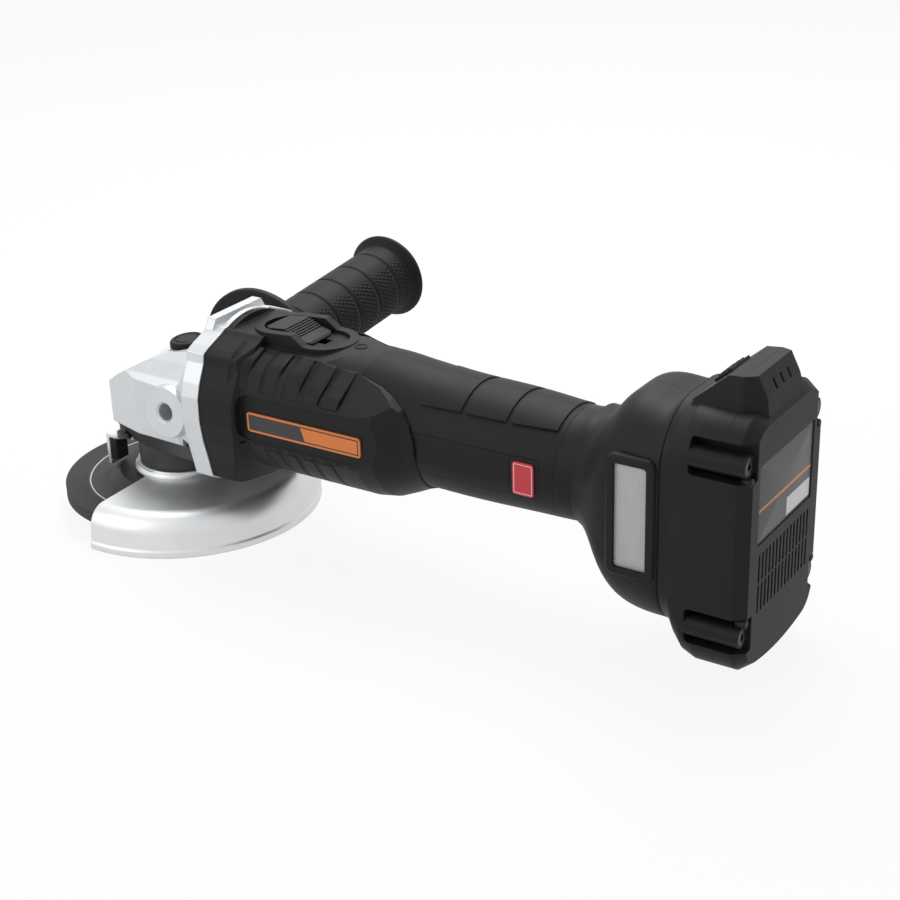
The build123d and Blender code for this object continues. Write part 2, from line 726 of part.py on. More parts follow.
def guard_lever():
    """Pressed steel lever that holds the guard's collar; its finger tab is bent down at the front."""
    top = cover_bottom - 0.3
    low = top - lever_sheet
    plan = outline([(lever_x + 1, -13.5), (lever_x - 2.5, -4.5), (tab_front + 1, -8.5), (tab_front, -10),
                    (tab_front, -17), (tab_front + 6, -17)], 0.7)
    arm = Pos(0, 0, low) * extrude(plan + Pos(lever_x, lever_y) * Circle(3.4), lever_sheet)
    tab = box(tab_front, tab_front + lever_sheet, -17, -10, tab_bottom, top)
    return arm + tab - upright(lever_x, lever_y, low - 1, top + 1, lever_pin_radius + 0.05)


def lever_pad():
    """Plastic thumb pad on the guard lever's tab."""
    front = tab_front + lever_sheet
    pad = box(front, front + 5.2, -17.5, -9.5, tab_bottom + 3.4, cover_bottom - 0.3 - lever_sheet)
    return chamfer(pad.edges().filter_by(Axis.Z), 0.8)


def lever_pin():
    """Headed pivot pin of the guard lever."""
    low = cover_bottom - 0.3 - lever_sheet
    pin = upright(lever_x, lever_y, low - 0.2, cover_bottom + 3.9, lever_pin_radius - 0.02)
    return pin + upright(lever_x, lever_y, low - 1.4, low - 0.1, 2.6)


# ---- Side handle -----------------------------------------------------------------------------

def handle_stud():
    """Threaded stud of the side handle, screwed into the far hole."""
    plane = handle_plane(1, -hole_depth + 1.5)
    length = hole_depth + 1.5
    body = extrude(plane * Circle(handle_thread / 2 - 0.03), length)
    return body + extrude(plane.offset(length) * RegularPolygon(handle_stud_nut, 6), 6)


def turned(points, side=1):
    """Turn a profile of (reach, radius) points round the handle's axis."""
    plane = handle_plane(side)
    corners = [plane.from_local_coords((radius, 0, reach)) for reach, radius in points]
    face = make_face(Polyline(*corners, close=True))
    return revolve(face, Axis(plane.origin, plane.z_dir))


def handle_core():
    """Hard core of the side handle with the large hand stop."""
    end = handle_length - 6
    body = turned([(0.2, 0), (0.2, 10.5), (10, 12.5), (13.6, 17), (13.8, stop_disc_radius - 0.6),
                   (14.6, stop_disc_radius), (16.8, stop_disc_radius), (17.6, stop_disc_radius - 0.6), (17.8, 17),
                   (22, 15), (30, handle_core_radius), (end, handle_core_radius), (end, 0)])
    plane = handle_plane(1)
    body -= extrude(plane * Circle(handle_thread / 2), 3.0)
    return body - extrude(plane.offset(3.0) * RegularPolygon(handle_stud_nut + 0.05, 6), 6.1)


def handle_sleeve():
    """Soft sleeve of the side handle: slight barrel shape, ring grooves and an end flange."""
    r = handle_grip_radius
    c = handle_core_radius + 0.02
    points = [(30.5, c), (30.5, r - 1.5), (33, r - 0.4)]
    for reach in groove_reaches:
        points += [(reach - 0.9, r), (reach - 0.5, r - 0.8), (reach + 0.5, r - 0.8), (reach + 0.9, r)]
    end = handle_length
    wide = end_flange_radius
    points += [(end - 8, r - 0.2), (end - 4.5, wide - 1.2), (end - 2.5, wide), (end - 0.8, wide - 0.6),
               (end, wide - 3), (end - 1, 12), (end - 1, 0), (end - 5.98, 0), (end - 5.98, c)]
    return turned(points)


# ---- Motor -----------------------------------------------------------------------------------

def rotor_shaft():
    """Motor shaft: pinion seat, front and rear journals."""
    nose = pinion_bore - 0.02
    journal = shaft_radius - 0.03
    tail = rear_bearing_bore / 2 - 0.03
    step = bulkhead_front - 1
    end = bulkhead_front + rear_bearing_width + 0.8
    return barrel([(gear_toe + 3.6, 0), (gear_toe + 3.6, nose), (pinion_rear, nose), (pinion_rear, journal),
                   (step, journal), (step, tail), (end, tail), (end, 0)])


def rotor_core():
    """Laminated rotor with its magnets."""
    rear = stator_front + stator_length
    return rod(stator_front, rear, stator_bore - air_gap) - rod(stator_front - 1, rear + 1, shaft_radius)


def fan():
    """Radial cooling fan ahead of the motor."""
    body = rod(fan_x, fan_x + 1.6, fan_radius) + rod(fan_x, fan_x + 9.5, 8)
    for index in range(fan_blades):
        blade = box(fan_x, fan_x + 8.5, -0.7, 0.7, motor_height + 7, motor_height + fan_radius - 0.4)
        body += about_motor(blade, 360 * index / fan_blades)
    return body - rod(fan_x - 1, fan_x + 10, shaft_radius)


def fan_baffle():
    """Ring that guides the cooling air into the fan."""
    baffle = rod(fan_x + 10.2, fan_x + 12.2, cavity_radius - 0.1) - rod(fan_x + 9, fan_x + 13, 20)
    return baffle - box(fan_x, fan_x + 20, -20, 20, cavity_top - 0.1, 120)


def stator_core():
    """Stator stack: a ring with six teeth."""
    rear = stator_front + stator_length
    low = motor_height + stator_bore
    body = rod(stator_front, rear, stator_radius) - rod(stator_front - 1, rear + 1, stator_radius - 4)
    for index in range(stator_teeth):
        tooth = box(stator_front, rear, -3, 3, low + 0.6, motor_height + stator_radius - 3)
        shoe = box(stator_front, rear, -5.5, 5.5, low, low + 2.4)
        body += about_motor(tooth + shoe, 360 * index / stator_teeth)
    return body - rod(stator_front - 1, rear + 1, stator_bore)


def stator_windings():
    """Six coils round the stator's teeth."""
    front = stator_front - coil_overhang
    rear = stator_front + stator_length + coil_overhang
    low = motor_height + stator_bore + 2.6
    high = motor_height + stator_radius - 5.4
    coil = box(front, rear, -5.4, 5.4, low, high)
    coil -= box(stator_front - 0.1, rear - coil_overhang + 0.1, -3.1, 3.1, low - 1, high + 1)
    return joined([about_motor(coil, 360 * index / stator_teeth) for index in range(stator_teeth)])


def front_motor_bearing():
    """Front ball bearing of the motor, in the gear housing."""
    return ball_bearing(facing(front_bearing_x), front_bearing_bore, front_bearing_outer - 0.04,
                        front_bearing_width)


def rear_motor_bearing():
    """Rear ball bearing of the motor, in the housing's bulkhead."""
    return ball_bearing(facing(bulkhead_front), rear_bearing_bore, rear_bearing_outer - 0.04, rear_bearing_width)


# ---- Motor housing ---------------------------------------------------------------------------

def seam_region():
    """Side view region ahead of the seam between the motor housing and the grip."""
    return sideways([(30, 106), *seam_line, (30, 22)], 60)


def hood_section(x, grow):
    """Cross section of the housing's top near its rear edge, larger by grow all round."""
    radius = seam_radius + grow
    side = barrel_flat + 0.2 + grow
    reach = (side ** 2 + shoulder ** 2) ** 0.5
    angle = atan2(shoulder, side) + acos(radius / reach)
    touch_y = radius * cos(angle)
    touch_z = radius * sin(angle)
    flank = Polyline((side, -1), (side, shoulder), (touch_y, touch_z))
    top = ThreePointArc((touch_y, touch_z), (0, radius), (-touch_y, touch_z))
    other = Polyline((-touch_y, touch_z), (-side, shoulder), (-side, -1), (side, -1))
    return facing(x) * make_face(flank + top + other)


def hood():
    """What is cut from the housing's top so that it falls to the seam ahead of the grip."""
    keep = loft([hood_section(hood_front, 7), hood_section(hood_rear, 0)], ruled=True)
    keep += extrude(hood_section(hood_rear, 0), 160 - hood_rear)
    return box(hood_front, 160, -50, 50, motor_height + shoulder, 110) - keep


def roof():
    """What is cut from the motor barrel's top so that it is flatter beside the switch."""
    keep = rod(40, 170, crown_radius, z=crown_top - crown_radius)
    return box(flange_rear + 4, 160, -50, 50, motor_height + shoulder, 110) - keep


def motor_housing():
    """One-piece motor barrel with its front block, switch bed, flat sides and rear bulkhead."""
    body = barrel([(flange_rear, 0), (flange_rear, 34), (56, barrel_radius), *tail_profile, (155, 0)])
    body -= roof()
    block = across(full(flange_outline(31.5, 0.5)), flange_rear, 68, radius=1.5)
    block &= barrel([(flange_rear, 0), (flange_rear, 49), (56, 49), (68, 35), (68, 0)])
    body = body + block - hood()
    for side in (1, -1):
        body -= Pos(120, side * (barrel_flat + 20), 61) * Box(104, 40, 100)
    body += switch_track(0, switch_floor - 8, 100)
    body -= sideways([*rim_line, (130, 110), (50, 110)], switch_half_width + 1)
    body &= seam_region()
    body -= motor_cavity()
    body -= rod(plug_front - 0.2, 200, plug_radius + 0.15)
    body -= switch_track(switch_rim, switch_floor, switch_floor + 20)
    body -= box(slider_front + 13, slider_rear - 4 + slider_travel, -2.9, 2.9, cavity_top - 1, switch_floor + 1)
    body -= side_pocket()
    body -= air_slots()
    for y, z in flange_screw_places():
        body -= rod(flange_rear - 1, flange_rear + 14, screw_radius + 0.05, y, z)
    return body


def switch_track(inset, z0, z1):
    """Racetrack block round the slide switch, smaller by the inset."""
    middle = (switch_front + switch_rear) / 2
    shape = SlotOverall(switch_rear - switch_front - 2 * inset, 2 * (switch_half_width - inset))
    return Pos(middle, 0, z0) * extrude(shape, z1 - z0)


def motor_cavity():
    """Inside of the motor barrel: fan room, ribs for the stator, the rear bearing's seat and air holes."""
    hollow = rod(flange_rear - 1, bulkhead_front, cavity_radius)
    hollow -= box(flange_rear - 2, bulkhead_front + 1, -40, 40, cavity_top, 120)
    for index in range(8):
        rib = box(stator_front + 1, bulkhead_front + 1, -1.5, 1.5, motor_height + stator_radius + 0.05,
                  motor_height + cavity_radius + 1)
        hollow -= about_motor(rib, 45 * index + 22.5)
    hollow += rod(bulkhead_front - 1, bulkhead_front + rear_bearing_width + 0.2, rear_bearing_outer / 2)
    hollow += rod(bulkhead_front, bulkhead_rear + 3, 6)
    for index in range(6):
        angle = radians(60 * index)
        hollow += rod(bulkhead_front - 1, bulkhead_rear + 3, 3.5, 16 * cos(angle), motor_height + 16 * sin(angle))
    hollow += box(bulkhead_front - 1, plug_front, -3.2, 3.2, link_low - 3, cavity_top)
    return hollow


def side_pocket():
    """Long recess in the near side for the front label plate."""
    plane = Plane.XZ.offset(barrel_flat - 1.2)
    return extrude(plane * Pos(104, 60.5) * RectangleRounded(76, 22, 5), 5)


def label_plate():
    """Bare plate in the side pocket."""
    plane = Plane.XZ.offset(barrel_flat - 1.2)
    return extrude(plane * Pos(100.5, 59.0) * RectangleRounded(61, 9.1, 1.5), 0.8)


def air_slots():
    """Row of short air slots low on both sides of the housing."""
    slots = []
    for index in range(10):
        x = 68 + 6.4 * index
        for side in (1, -1):
            slots.append(Pos(x, side * barrel_flat, 48.4) * Box(4.2, 2.8, 1.3))
    return joined(slots)


# ---- Slide switch ----------------------------------------------------------------------------

def switch_slider():
    """Thumb slider with cross ribs on its rear slope and a post down to the link."""
    low = switch_floor + 0.3
    body = sideways([(slider_front, low), (slider_front, low + 3.4), (slider_front + 3, low + 4.6), slider_peak,
                     slider_fall, (slider_rear - 1, low + 1.2), (slider_rear, low + 0.4), (slider_rear, low)],
                    slider_half_width)
    plan = RectangleRounded(slider_rear - slider_front, 2 * slider_half_width, 3)
    body &= Pos((slider_front + slider_rear) / 2, 0, low) * extrude(plan, 12)
    body &= switch_track(switch_rim + 1, low, low + 12)
    pitch = (slider_fall[0] - slider_peak[0]) / slider_ribs
    drop = (slider_peak[1] - slider_fall[1]) / slider_ribs
    for index in range(slider_ribs):
        x = slider_peak[0] + pitch * (index + 0.4)
        body -= box(x, x + 0.6, -20, 20, slider_peak[1] - drop * (index + 0.7) - 0.9, low + 12)
    return body + box(slider_front + 14, slider_rear - 5, -2.5, 2.5, link_height, low + 0.5)


def switch_link():
    """Stepped push rod from the slider back to the switch in the grip."""
    half = link_half_width
    body = box(slider_front + 13, link_step, -half, half, link_height - link_sheet, link_height)
    body += box(link_step - link_sheet, link_step, -half, half, link_low - link_sheet, link_height)
    return body + box(link_step - link_sheet, link_rear, -half, half, link_low - link_sheet, link_low)


def microswitch():
    """Switch in the grip that the link presses."""
    half = microswitch_half
    body = box(microswitch_front, microswitch_rear, -half, half, link_low - 9, link_low + 0.6)
    body += box(microswitch_front - 0.7, microswitch_front, -1.5, 1.5, link_low - link_sheet, link_low)
    for x in (microswitch_front + 4, microswitch_rear - 4):
        body += box(x - 0.4, x + 0.4, -2, 2, link_low - 14, link_low - 9)
    return body


def control_board():
    """Circuit board of the motor control with its capacitors and heat sink."""
    top = board_z + board_sheet
    body = box(board_front, board_rear, -board_half_width, board_half_width, board_z, top)
    for x, y in ((172, 8), (172, -8)):
        body += upright(x, y, top, top + 9, 4)
    body += box(180, 196, -12, 12, top, top + 2)
    for index in range(5):
        y = -11 + 5.2 * index
        body += box(180, 196, y, y + 1.2, top + 2, top + 8)
    return body


# ---- Grip and foot ---------------------------------------------------------------------------

def both_sides():
    """Return the two sides as the signs of Y."""
    return (1, -1)


def side_plate(side, x0, x1, z0, z1, y0, y1, corner):
    """Extrude a rounded rectangle seen from the side, between two distances from the middle plane."""
    plane = Plane.XZ.offset(-side * y0)
    shape = Pos((x0 + x1) / 2, (z0 + z1) / 2) * RectangleRounded(x1 - x0, z1 - z0, corner)
    return extrude(plane * shape, -side * (y1 - y0))


def filter_block(side, inset, y0, y1, corner):
    """Rounded block over the filter's outline, smaller by the inset."""
    half = filter_width / 2 - inset
    tall = filter_height / 2 - inset
    return side_plate(side, filter_x - half, filter_x + half, filter_z - tall, filter_z + tall, y0, y1, corner)


def shell_solid():
    """Grip and foot before they are split into two shells."""
    grip_end = foot_front
    outside = (tube(grip_rows, rubber) & box(115, rubber_rear, -60, 60, 0, 120)) - seam_region()
    outside += rod(plug_front, plug_rear, plug_radius)
    outside += tube(grip_rows) & box(rubber_rear, grip_end, -60, 60, 0, 120)
    outside += tube(foot_rows)
    room = rod(plug_front - 1, plug_rear, plug_radius - grip_wall) + box(plug_rear, foot_front, -60, 60, 0, 130)
    inside = tube(grip_rows, rubber + grip_wall) & room
    inside += tube(foot_rows, foot_wall + 1.2) & box(foot_front, foot_rear - foot_end_wall, -60, 60, 0, 130)
    ribs = board_ledges() + switch_cheeks() + screw_bosses() + filter_seats()
    hollow = inside - ribs
    outside -= hollow
    outside += rails()
    outside -= box(foot_rear - 6, foot_rear + 20, 5 - rail_half_width, rail_half_width - 5, rail_bottom + 4, 130) \
        & box(0, BIG, -60, 60, 0, rail_top + 4)
    for side in both_sides():
        outside -= filter_block(side, filter_frame + 0.6, 20, 50, 2)
        outside -= filter_block(side, -0.1, filter_back - 0.05, 50, 4.1)
    outside -= screw_holes()
    return outside


def rails():
    """T-shaped rails on the foot's rear face that carry the battery."""
    rear = foot_rear + rail_depth
    wide = rail_half_width + rail_lip
    body = box(foot_rear - 2, rear, -rail_half_width, rail_half_width, rail_bottom, rail_top)
    return body + box(rear - rail_sheet, rear, -wide, wide, rail_bottom, rail_top)


def board_ledges():
    """Ledges inside both shells that carry the control board."""
    ledges = []
    for x in (board_front + 2, board_rear - 6):
        ledges.append(box(x, x + 4, board_half_width - 3, 30, board_z - 2.5, board_z))
        ledges.append(box(x, x + 4, -30, 3 - board_half_width, board_z - 2.5, board_z))
    return joined(ledges)


def switch_cheeks():
    """Ribs inside both shells that hold the microswitch from its sides."""
    cheeks = []
    for x in (microswitch_front + 2, microswitch_rear - 4):
        cheeks.append(box(x, x + 2, microswitch_half + 0.05, 30, link_low - 8, link_low + 8))
        cheeks.append(box(x, x + 2, -30, -microswitch_half - 0.05, link_low - 8, link_low + 8))
    return joined(cheeks)


def screw_bosses():
    """Columns across the shells for the screws that join them."""
    return joined([crosswise(x, z, -40, 40, screw_boss) for x, z in shell_screw_places])


def filter_seats():
    """Inner ledges behind the intake filters."""
    seats = [filter_block(side, -2, filter_back - filter_lip, 40, 4) for side in both_sides()]
    return joined(seats)


def screw_seat(x):
    """Distance of a shell screw's head from the middle plane, at the given x."""
    return 22.0 if x > foot_front else 14.0


def screw_holes():
    """Head seats in the far shell and pilot holes into the near shell."""
    holes = []
    for x, z in shell_screw_places:
        holes.append(crosswise(x, z, -12, 60, screw_radius + 0.05))
        holes.append(crosswise(x, z, screw_seat(x), 60, screw_head_radius + 0.3))
    return joined(holes)


def shell_screws():
    """Screws that join the two grip shells, put in from the far side."""
    return joined([screw((x, -11.5, z), (0, 1, 0), 11.5 + screw_seat(x)) for x, z in shell_screw_places])


def half_of(solid, side):
    """Keep the left (+Y) or the right (-Y) half."""
    return solid & box(-BIG, BIG, min(0, side * BIG), max(0, side * BIG), -BIG, BIG)


def rubber_solid():
    """Soft layer of the grip with three raised bands and a recessed panel on each side."""
    span = box(plug_front, rubber_rear - 0.05, -60, 60, 0, 120)
    body = tube(grip_rows) & span
    for front, rear in band_spans:
        body += tube(grip_rows, -band_height) & box(front, rear, -60, 60, band_bottom, 120)
    body -= tube(grip_rows, rubber)
    body -= seam_region()
    for side in both_sides():
        body -= side_plate(side, panel_front, panel_rear, panel_bottom, panel_top, panel_floor + 0.35, 60, 3)
    return body - screw_holes()


def grip_badge():
    """Small bare badge at the rear end of the near side panel."""
    return side_plate(-1, badge_front, badge_rear, panel_bottom + 1.8, panel_top - 1.8, panel_floor + 0.35,
                      panel_floor + 1.1, 1.5)


def filter_frame_part(side):
    """Frame of one intake filter, clipped into the foot's side."""
    frame = filter_block(side, 0, filter_back, filter_face, 4)
    frame = chamfer(frame.faces().sort_by(Axis.Y)[-1 if side > 0 else 0].edges(), 0.8)
    return frame - filter_block(side, filter_frame, filter_back - 1, filter_face + 1, 1.5)


def filter_mesh(side):
    """Fine dust screen in the filter's frame."""
    screen = filter_block(side, filter_frame + 0.02, filter_back + 0.6, filter_back + 1.6, 1.48)
    for index in range(5):
        z = filter_z - filter_height / 2 + filter_frame + 7.5 * (index + 1)
        bar = box(filter_x - 7.1, filter_x + 7.1, -0.5, 0.5, z - 0.5, z + 0.5)
        screen += Pos(0, side * (filter_back + 1.9), 0) * bar
    return screen


def terminal_block():
    """Block in the foot's rear face with four upright contact blades."""
    half = rail_half_width - 5.1
    body = box(foot_rear - 6.5, foot_rear + 2, -half, half, blade_bottom - 5, blade_top + 5)
    for y in blade_offsets:
        body += box(foot_rear, blade_tip, y - blade_sheet / 2, y + blade_sheet / 2, blade_bottom, blade_top)
    return body


# ---- Battery ---------------------------------------------------------------------------------

def case_section(x, shrink, grown=1.0):
    """Cross section of the battery case, smaller by shrink all round, or on its way from the foot's outline."""
    foot_half, foot_tall, foot_z, foot_corner = foot_rows[-1][1:]
    half = foot_half + grown * (battery_half_width - foot_half) - shrink
    low = foot_z - foot_tall + grown * (battery_bottom - foot_z + foot_tall) + shrink
    high = foot_z + foot_tall + grown * (battery_top - foot_z - foot_tall) - shrink
    side = low + grown * bottom_crown
    under = ThreePointArc((-half, side), (0, low), (half, side)) if grown else Line((-half, side), (half, side))
    shape = make_face(under + Polyline((half, side), (half, high), (-half, high), (-half, side)))
    below = foot_corner + grown * (low_corner - foot_corner) - shrink
    above = foot_corner + grown * (high_corner - foot_corner) - shrink
    shape = fillet(shape.vertices().sort_by(Axis.Y)[:2], below)
    shape = fillet(shape.vertices().sort_by(Axis.Y)[-2:], above)
    return facing(x, 0) * shape


def case_block(front, rear, shrink=0.0):
    """Straight block of the battery case between two places."""
    return extrude(case_section(front, shrink), rear - front)


def tower():
    """Raised block on the battery's top with a sloped front and a sloped rear."""
    half = tower_half_width
    plan = outline([(tower_front, 1.5 - half), (battery_split + 1, -half), (tower_rear, 5 - half),
                    (tower_rear, half - 5), (battery_split + 1, half), (tower_front, half - 1.5)])
    block = Pos(0, 0, battery_top - 7) * extrude(plan, 30, taper=tower_taper)
    side = [(ramp_foot - 4, battery_top - 7), (ramp_foot, ramp_foot_z), (ramp_top, ramp_top_z),
            (tower_rear_top, tower_rear_top_z), (tower_rear, ramp_foot_z), (tower_rear, battery_top - 7)]
    return block & sideways(side, 30)


def battery_solid():
    """Outside of the battery: case, sloped rear edges, tower and sunk screw bosses."""
    body = loft([case_section(x, 0, grown) for x, grown in nose_steps], ruled=True)
    body += case_block(nose_steps[-1][0], edge_start)
    body += loft([case_section(edge_start, 0), case_section(battery_rear, edge_slope)], ruled=True)
    body += tower()
    for y, z in battery_boss_places():
        side = 1 if y > 0 else -1
        scoop = side_plate(side, recess_front, recess_rear + 6, z - 6.5, z + 8.5, boss_y - 3.5, 60, 2)
        body -= scoop
        body += rod(recess_front - 1, recess_rear, case_boss_radius, y, z)
    return body


def battery_boss_places():
    """Return Y and Z of the four screw bosses."""
    return [(y, z) for y in (boss_y, -boss_y) for z in (boss_height, boss_low)]


def battery_hollow():
    """Room for the cells, kept clear of the sunk screw bosses."""
    room = case_block(cell_front, battery_rear - battery_wall, battery_wall)
    for y, z in battery_boss_places():
        side = 1 if y > 0 else -1
        room -= side_plate(side, recess_front - 3, battery_rear, z - 8.7, z + 10.7, boss_y - 5.9, 60, 2)
    return room


def battery_base():
    """Front part of the battery case with the slide channel, the tower and the button's pocket."""
    body = battery_solid() & box(0, battery_split, -60, 60, -10, 140)
    body -= battery_hollow()
    body -= slide_channel()
    body -= button_prism(button_half_width + 0.25, button_length / 2 + 0.25, -button_room, 12)
    for y, z in battery_boss_places():
        body -= rod(battery_split - 10, battery_split + 1, screw_radius + 0.05, y, z)
    return body


def slide_channel():
    """Channel for the rails, wide open below them, with room for the contact blades."""
    gap = slide_clearance
    wide = rail_half_width + rail_lip + gap
    neck_rear = foot_rear + rail_depth - rail_sheet
    lip_rear = foot_rear + rail_depth + gap
    room = box(0, neck_rear, -rail_half_width - gap, rail_half_width + gap, -10, rail_top + gap)
    room += box(neck_rear - gap, lip_rear, -wide, wide, -10, rail_top + gap)
    room += box(0, lip_rear, -wide, wide, -10, rail_bottom - gap)
    half = rail_half_width - 5
    return room + box(0, channel_rear, -half, half, -10, rail_top + gap)


def battery_cover():
    """Rear part of the battery case with air slots, a bare panel and three small windows."""
    body = battery_solid() & box(battery_split, BIG, -60, 60, -10, 140)
    body -= battery_hollow()
    depth = battery_rear - 1.2
    for low in slot_rows:
        for index in range(slot_count):
            y = (index - (slot_count - 1) / 2) * slot_pitch
            body -= box(depth, battery_rear + 1, y - slot_width / 2, y + slot_width / 2, low, low + slot_length)
    panel = outline([(-rear_panel_half, rear_panel_bottom), (rear_panel_half, rear_panel_bottom),
                     (rear_panel_half, rear_panel_top), (-rear_panel_half, rear_panel_top)])
    body -= extrude(facing(battery_rear - 0.6, 0) * panel, 2)
    for y in window_offsets:
        body -= box(window_depth, tower_rear, y - 0.7, y + 0.7, window_bottom, window_bottom + 4)
    for y, z in battery_boss_places():
        body -= rod(battery_split - 1, recess_rear + 1, screw_radius + 0.1, y, z)
        body -= rod(recess_rear - screw_head_height, recess_rear + 6, screw_head_radius, y, z)
    return body


def battery_screws():
    """Four screws that join the battery case from the rear."""
    length = recess_rear - screw_head_height - battery_split + 9
    return joined([screw((battery_split - 9, y, z), (1, 0, 0), length, head=screw_head_radius - 0.1)
                   for y, z in battery_boss_places()])


def cell_x():
    """Return X of the cells' axes."""
    return (cell_front + battery_rear - battery_wall) / 2


def cell_places():
    """Return the heights of the cells."""
    return [cell_low + cell_pitch * index for index in range(cell_count)]


def battery_cells():
    """Five cells in one row across the case."""
    half = cell_length / 2
    return joined([crosswise(cell_x(), z, -half, half, cell_diameter / 2) for z in cell_places()])


def cell_holder():
    """Two plates that hold the cells, standing against the case's inner wall."""
    rear = battery_rear - battery_wall - 0.1
    plates = []
    for y in (-20.5, 17.5):
        plate = box(cell_front + 0.05, rear, y, y + 3, holder_bottom, battery_top - 4.2)
        for z in cell_places():
            plate -= crosswise(cell_x(), z, y - 1, y + 4, cell_diameter / 2 + 0.03)
        plates.append(plate)
    return joined(plates)


def battery_contacts():
    """Pairs of contact springs on a carrier, one pair beside each blade."""
    body = box(channel_rear - 1.2, channel_rear, -12, 12, blade_bottom + 1, blade_top - 1)
    near = blade_sheet / 2 + 0.12
    for y in blade_offsets:
        for side in (1, -1):
            y0 = y + side * near
            y1 = y + side * (near + 0.5)
            body += box(foot_rear + 5, channel_rear - 1, min(y0, y1), max(y0, y1), blade_bottom + 4, blade_top - 4)
    return body


def button_prism(half_width, half_length, low, high):
    """Block across the ramp from one depth to another, measured outwards from its face."""
    middle = Vector(ramp_foot, 0, ramp_foot_z) + ramp_along * (ramp_length * 0.58)
    plane = Plane(origin=middle - press_down * low, x_dir=(0, 1, 0), z_dir=press_down * -1)
    return extrude(plane * Rectangle(2 * half_width, 2 * half_length), high - low)


def release_button():
    """Thumb button on the tower's ramp, with three grip ridges."""
    body = button_prism(button_half_width, button_length / 2, -button_inside, button_proud)
    for index in (-1, 0, 1):
        ridge = button_prism(button_half_width - 1.5, 0.5, button_proud - 0.1, button_proud + 0.5)
        body += Pos(*(ramp_along * (2.4 * index))) * ridge
    return body


def button_spring():
    """Return spring of the release button."""
    wire = 0.7
    middle = Vector(ramp_foot, 0, ramp_foot_z) + ramp_along * (ramp_length * 0.58)
    foot = Plane(origin=middle + press_down * (button_room - wire / 2), z_dir=press_down * -1)
    return spring(foot, 3.0, wire, button_room - button_inside - wire, 3)


# ---- Build -----------------------------------------------------------------------------------

def make(name, shape):
    """Write one sub-part's STEP file."""
    export_step(shape, f"parts/{name}.step")


for builder in (grinding_disc, lock_nut, inner_flange, spindle, crown_gear, pinion, gear_housing, bearing_cover,
                cover_screws, flange_screws, spindle_bearing, bearing_clip, upper_bush, lock_button, lock_pin,
                lock_spring, guard, guard_lever, lever_pad, lever_pin, handle_stud, handle_core, handle_sleeve,
                rotor_shaft, rotor_core, fan, fan_baffle, stator_core, stator_windings, front_motor_bearing,
                rear_motor_bearing, motor_housing, switch_slider, switch_link, microswitch, control_board,
                label_plate, grip_badge, shell_screws, terminal_block, battery_base, battery_cover,
                battery_screws, battery_cells, cell_holder, battery_contacts, release_button, button_spring):
    make(builder.__name__, builder())

shells = shell_solid()
soft = rubber_solid()
for label, side in (("left", 1), ("right", -1)):
    make(f"grip_shell_{label}", half_of(shells, side))
    make(f"grip_rubber_{label}", half_of(soft, side))
    make(f"filter_frame_{label}", filter_frame_part(side))
    make(f"filter_mesh_{label}", filter_mesh(side))
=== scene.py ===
import json
from math import cos, pi, sin

import bmesh
import bpy
import numpy as np
from mathutils import Matrix, Vector


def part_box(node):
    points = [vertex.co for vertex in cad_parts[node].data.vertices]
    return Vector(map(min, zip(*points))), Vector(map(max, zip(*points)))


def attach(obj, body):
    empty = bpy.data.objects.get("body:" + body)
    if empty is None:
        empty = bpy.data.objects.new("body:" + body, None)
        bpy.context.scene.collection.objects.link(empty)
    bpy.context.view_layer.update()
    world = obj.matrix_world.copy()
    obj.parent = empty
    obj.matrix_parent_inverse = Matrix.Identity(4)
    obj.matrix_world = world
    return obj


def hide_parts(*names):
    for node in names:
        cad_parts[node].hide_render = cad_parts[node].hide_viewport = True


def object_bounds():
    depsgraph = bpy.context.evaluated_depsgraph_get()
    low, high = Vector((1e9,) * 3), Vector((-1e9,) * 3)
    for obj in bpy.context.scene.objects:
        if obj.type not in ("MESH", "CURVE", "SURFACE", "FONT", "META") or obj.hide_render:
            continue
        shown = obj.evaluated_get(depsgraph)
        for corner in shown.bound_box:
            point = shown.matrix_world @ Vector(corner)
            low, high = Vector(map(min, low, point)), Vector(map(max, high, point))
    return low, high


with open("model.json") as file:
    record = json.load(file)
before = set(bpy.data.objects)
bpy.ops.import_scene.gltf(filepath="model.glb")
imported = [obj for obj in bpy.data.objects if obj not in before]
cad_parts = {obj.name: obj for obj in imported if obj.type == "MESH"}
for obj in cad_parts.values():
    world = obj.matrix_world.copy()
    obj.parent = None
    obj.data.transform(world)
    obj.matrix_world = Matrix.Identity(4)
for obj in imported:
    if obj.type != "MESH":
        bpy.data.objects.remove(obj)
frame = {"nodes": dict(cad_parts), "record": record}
cad_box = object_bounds()
mm = 0.001


# ---- Gear head casting -----------------------------------------------------------------------
# The gear housing is an aluminium die casting, blasted and lacquered pale silver. It holds the
# bevel pair and carries the motor housing on its wide flange, which four screws pull tight.

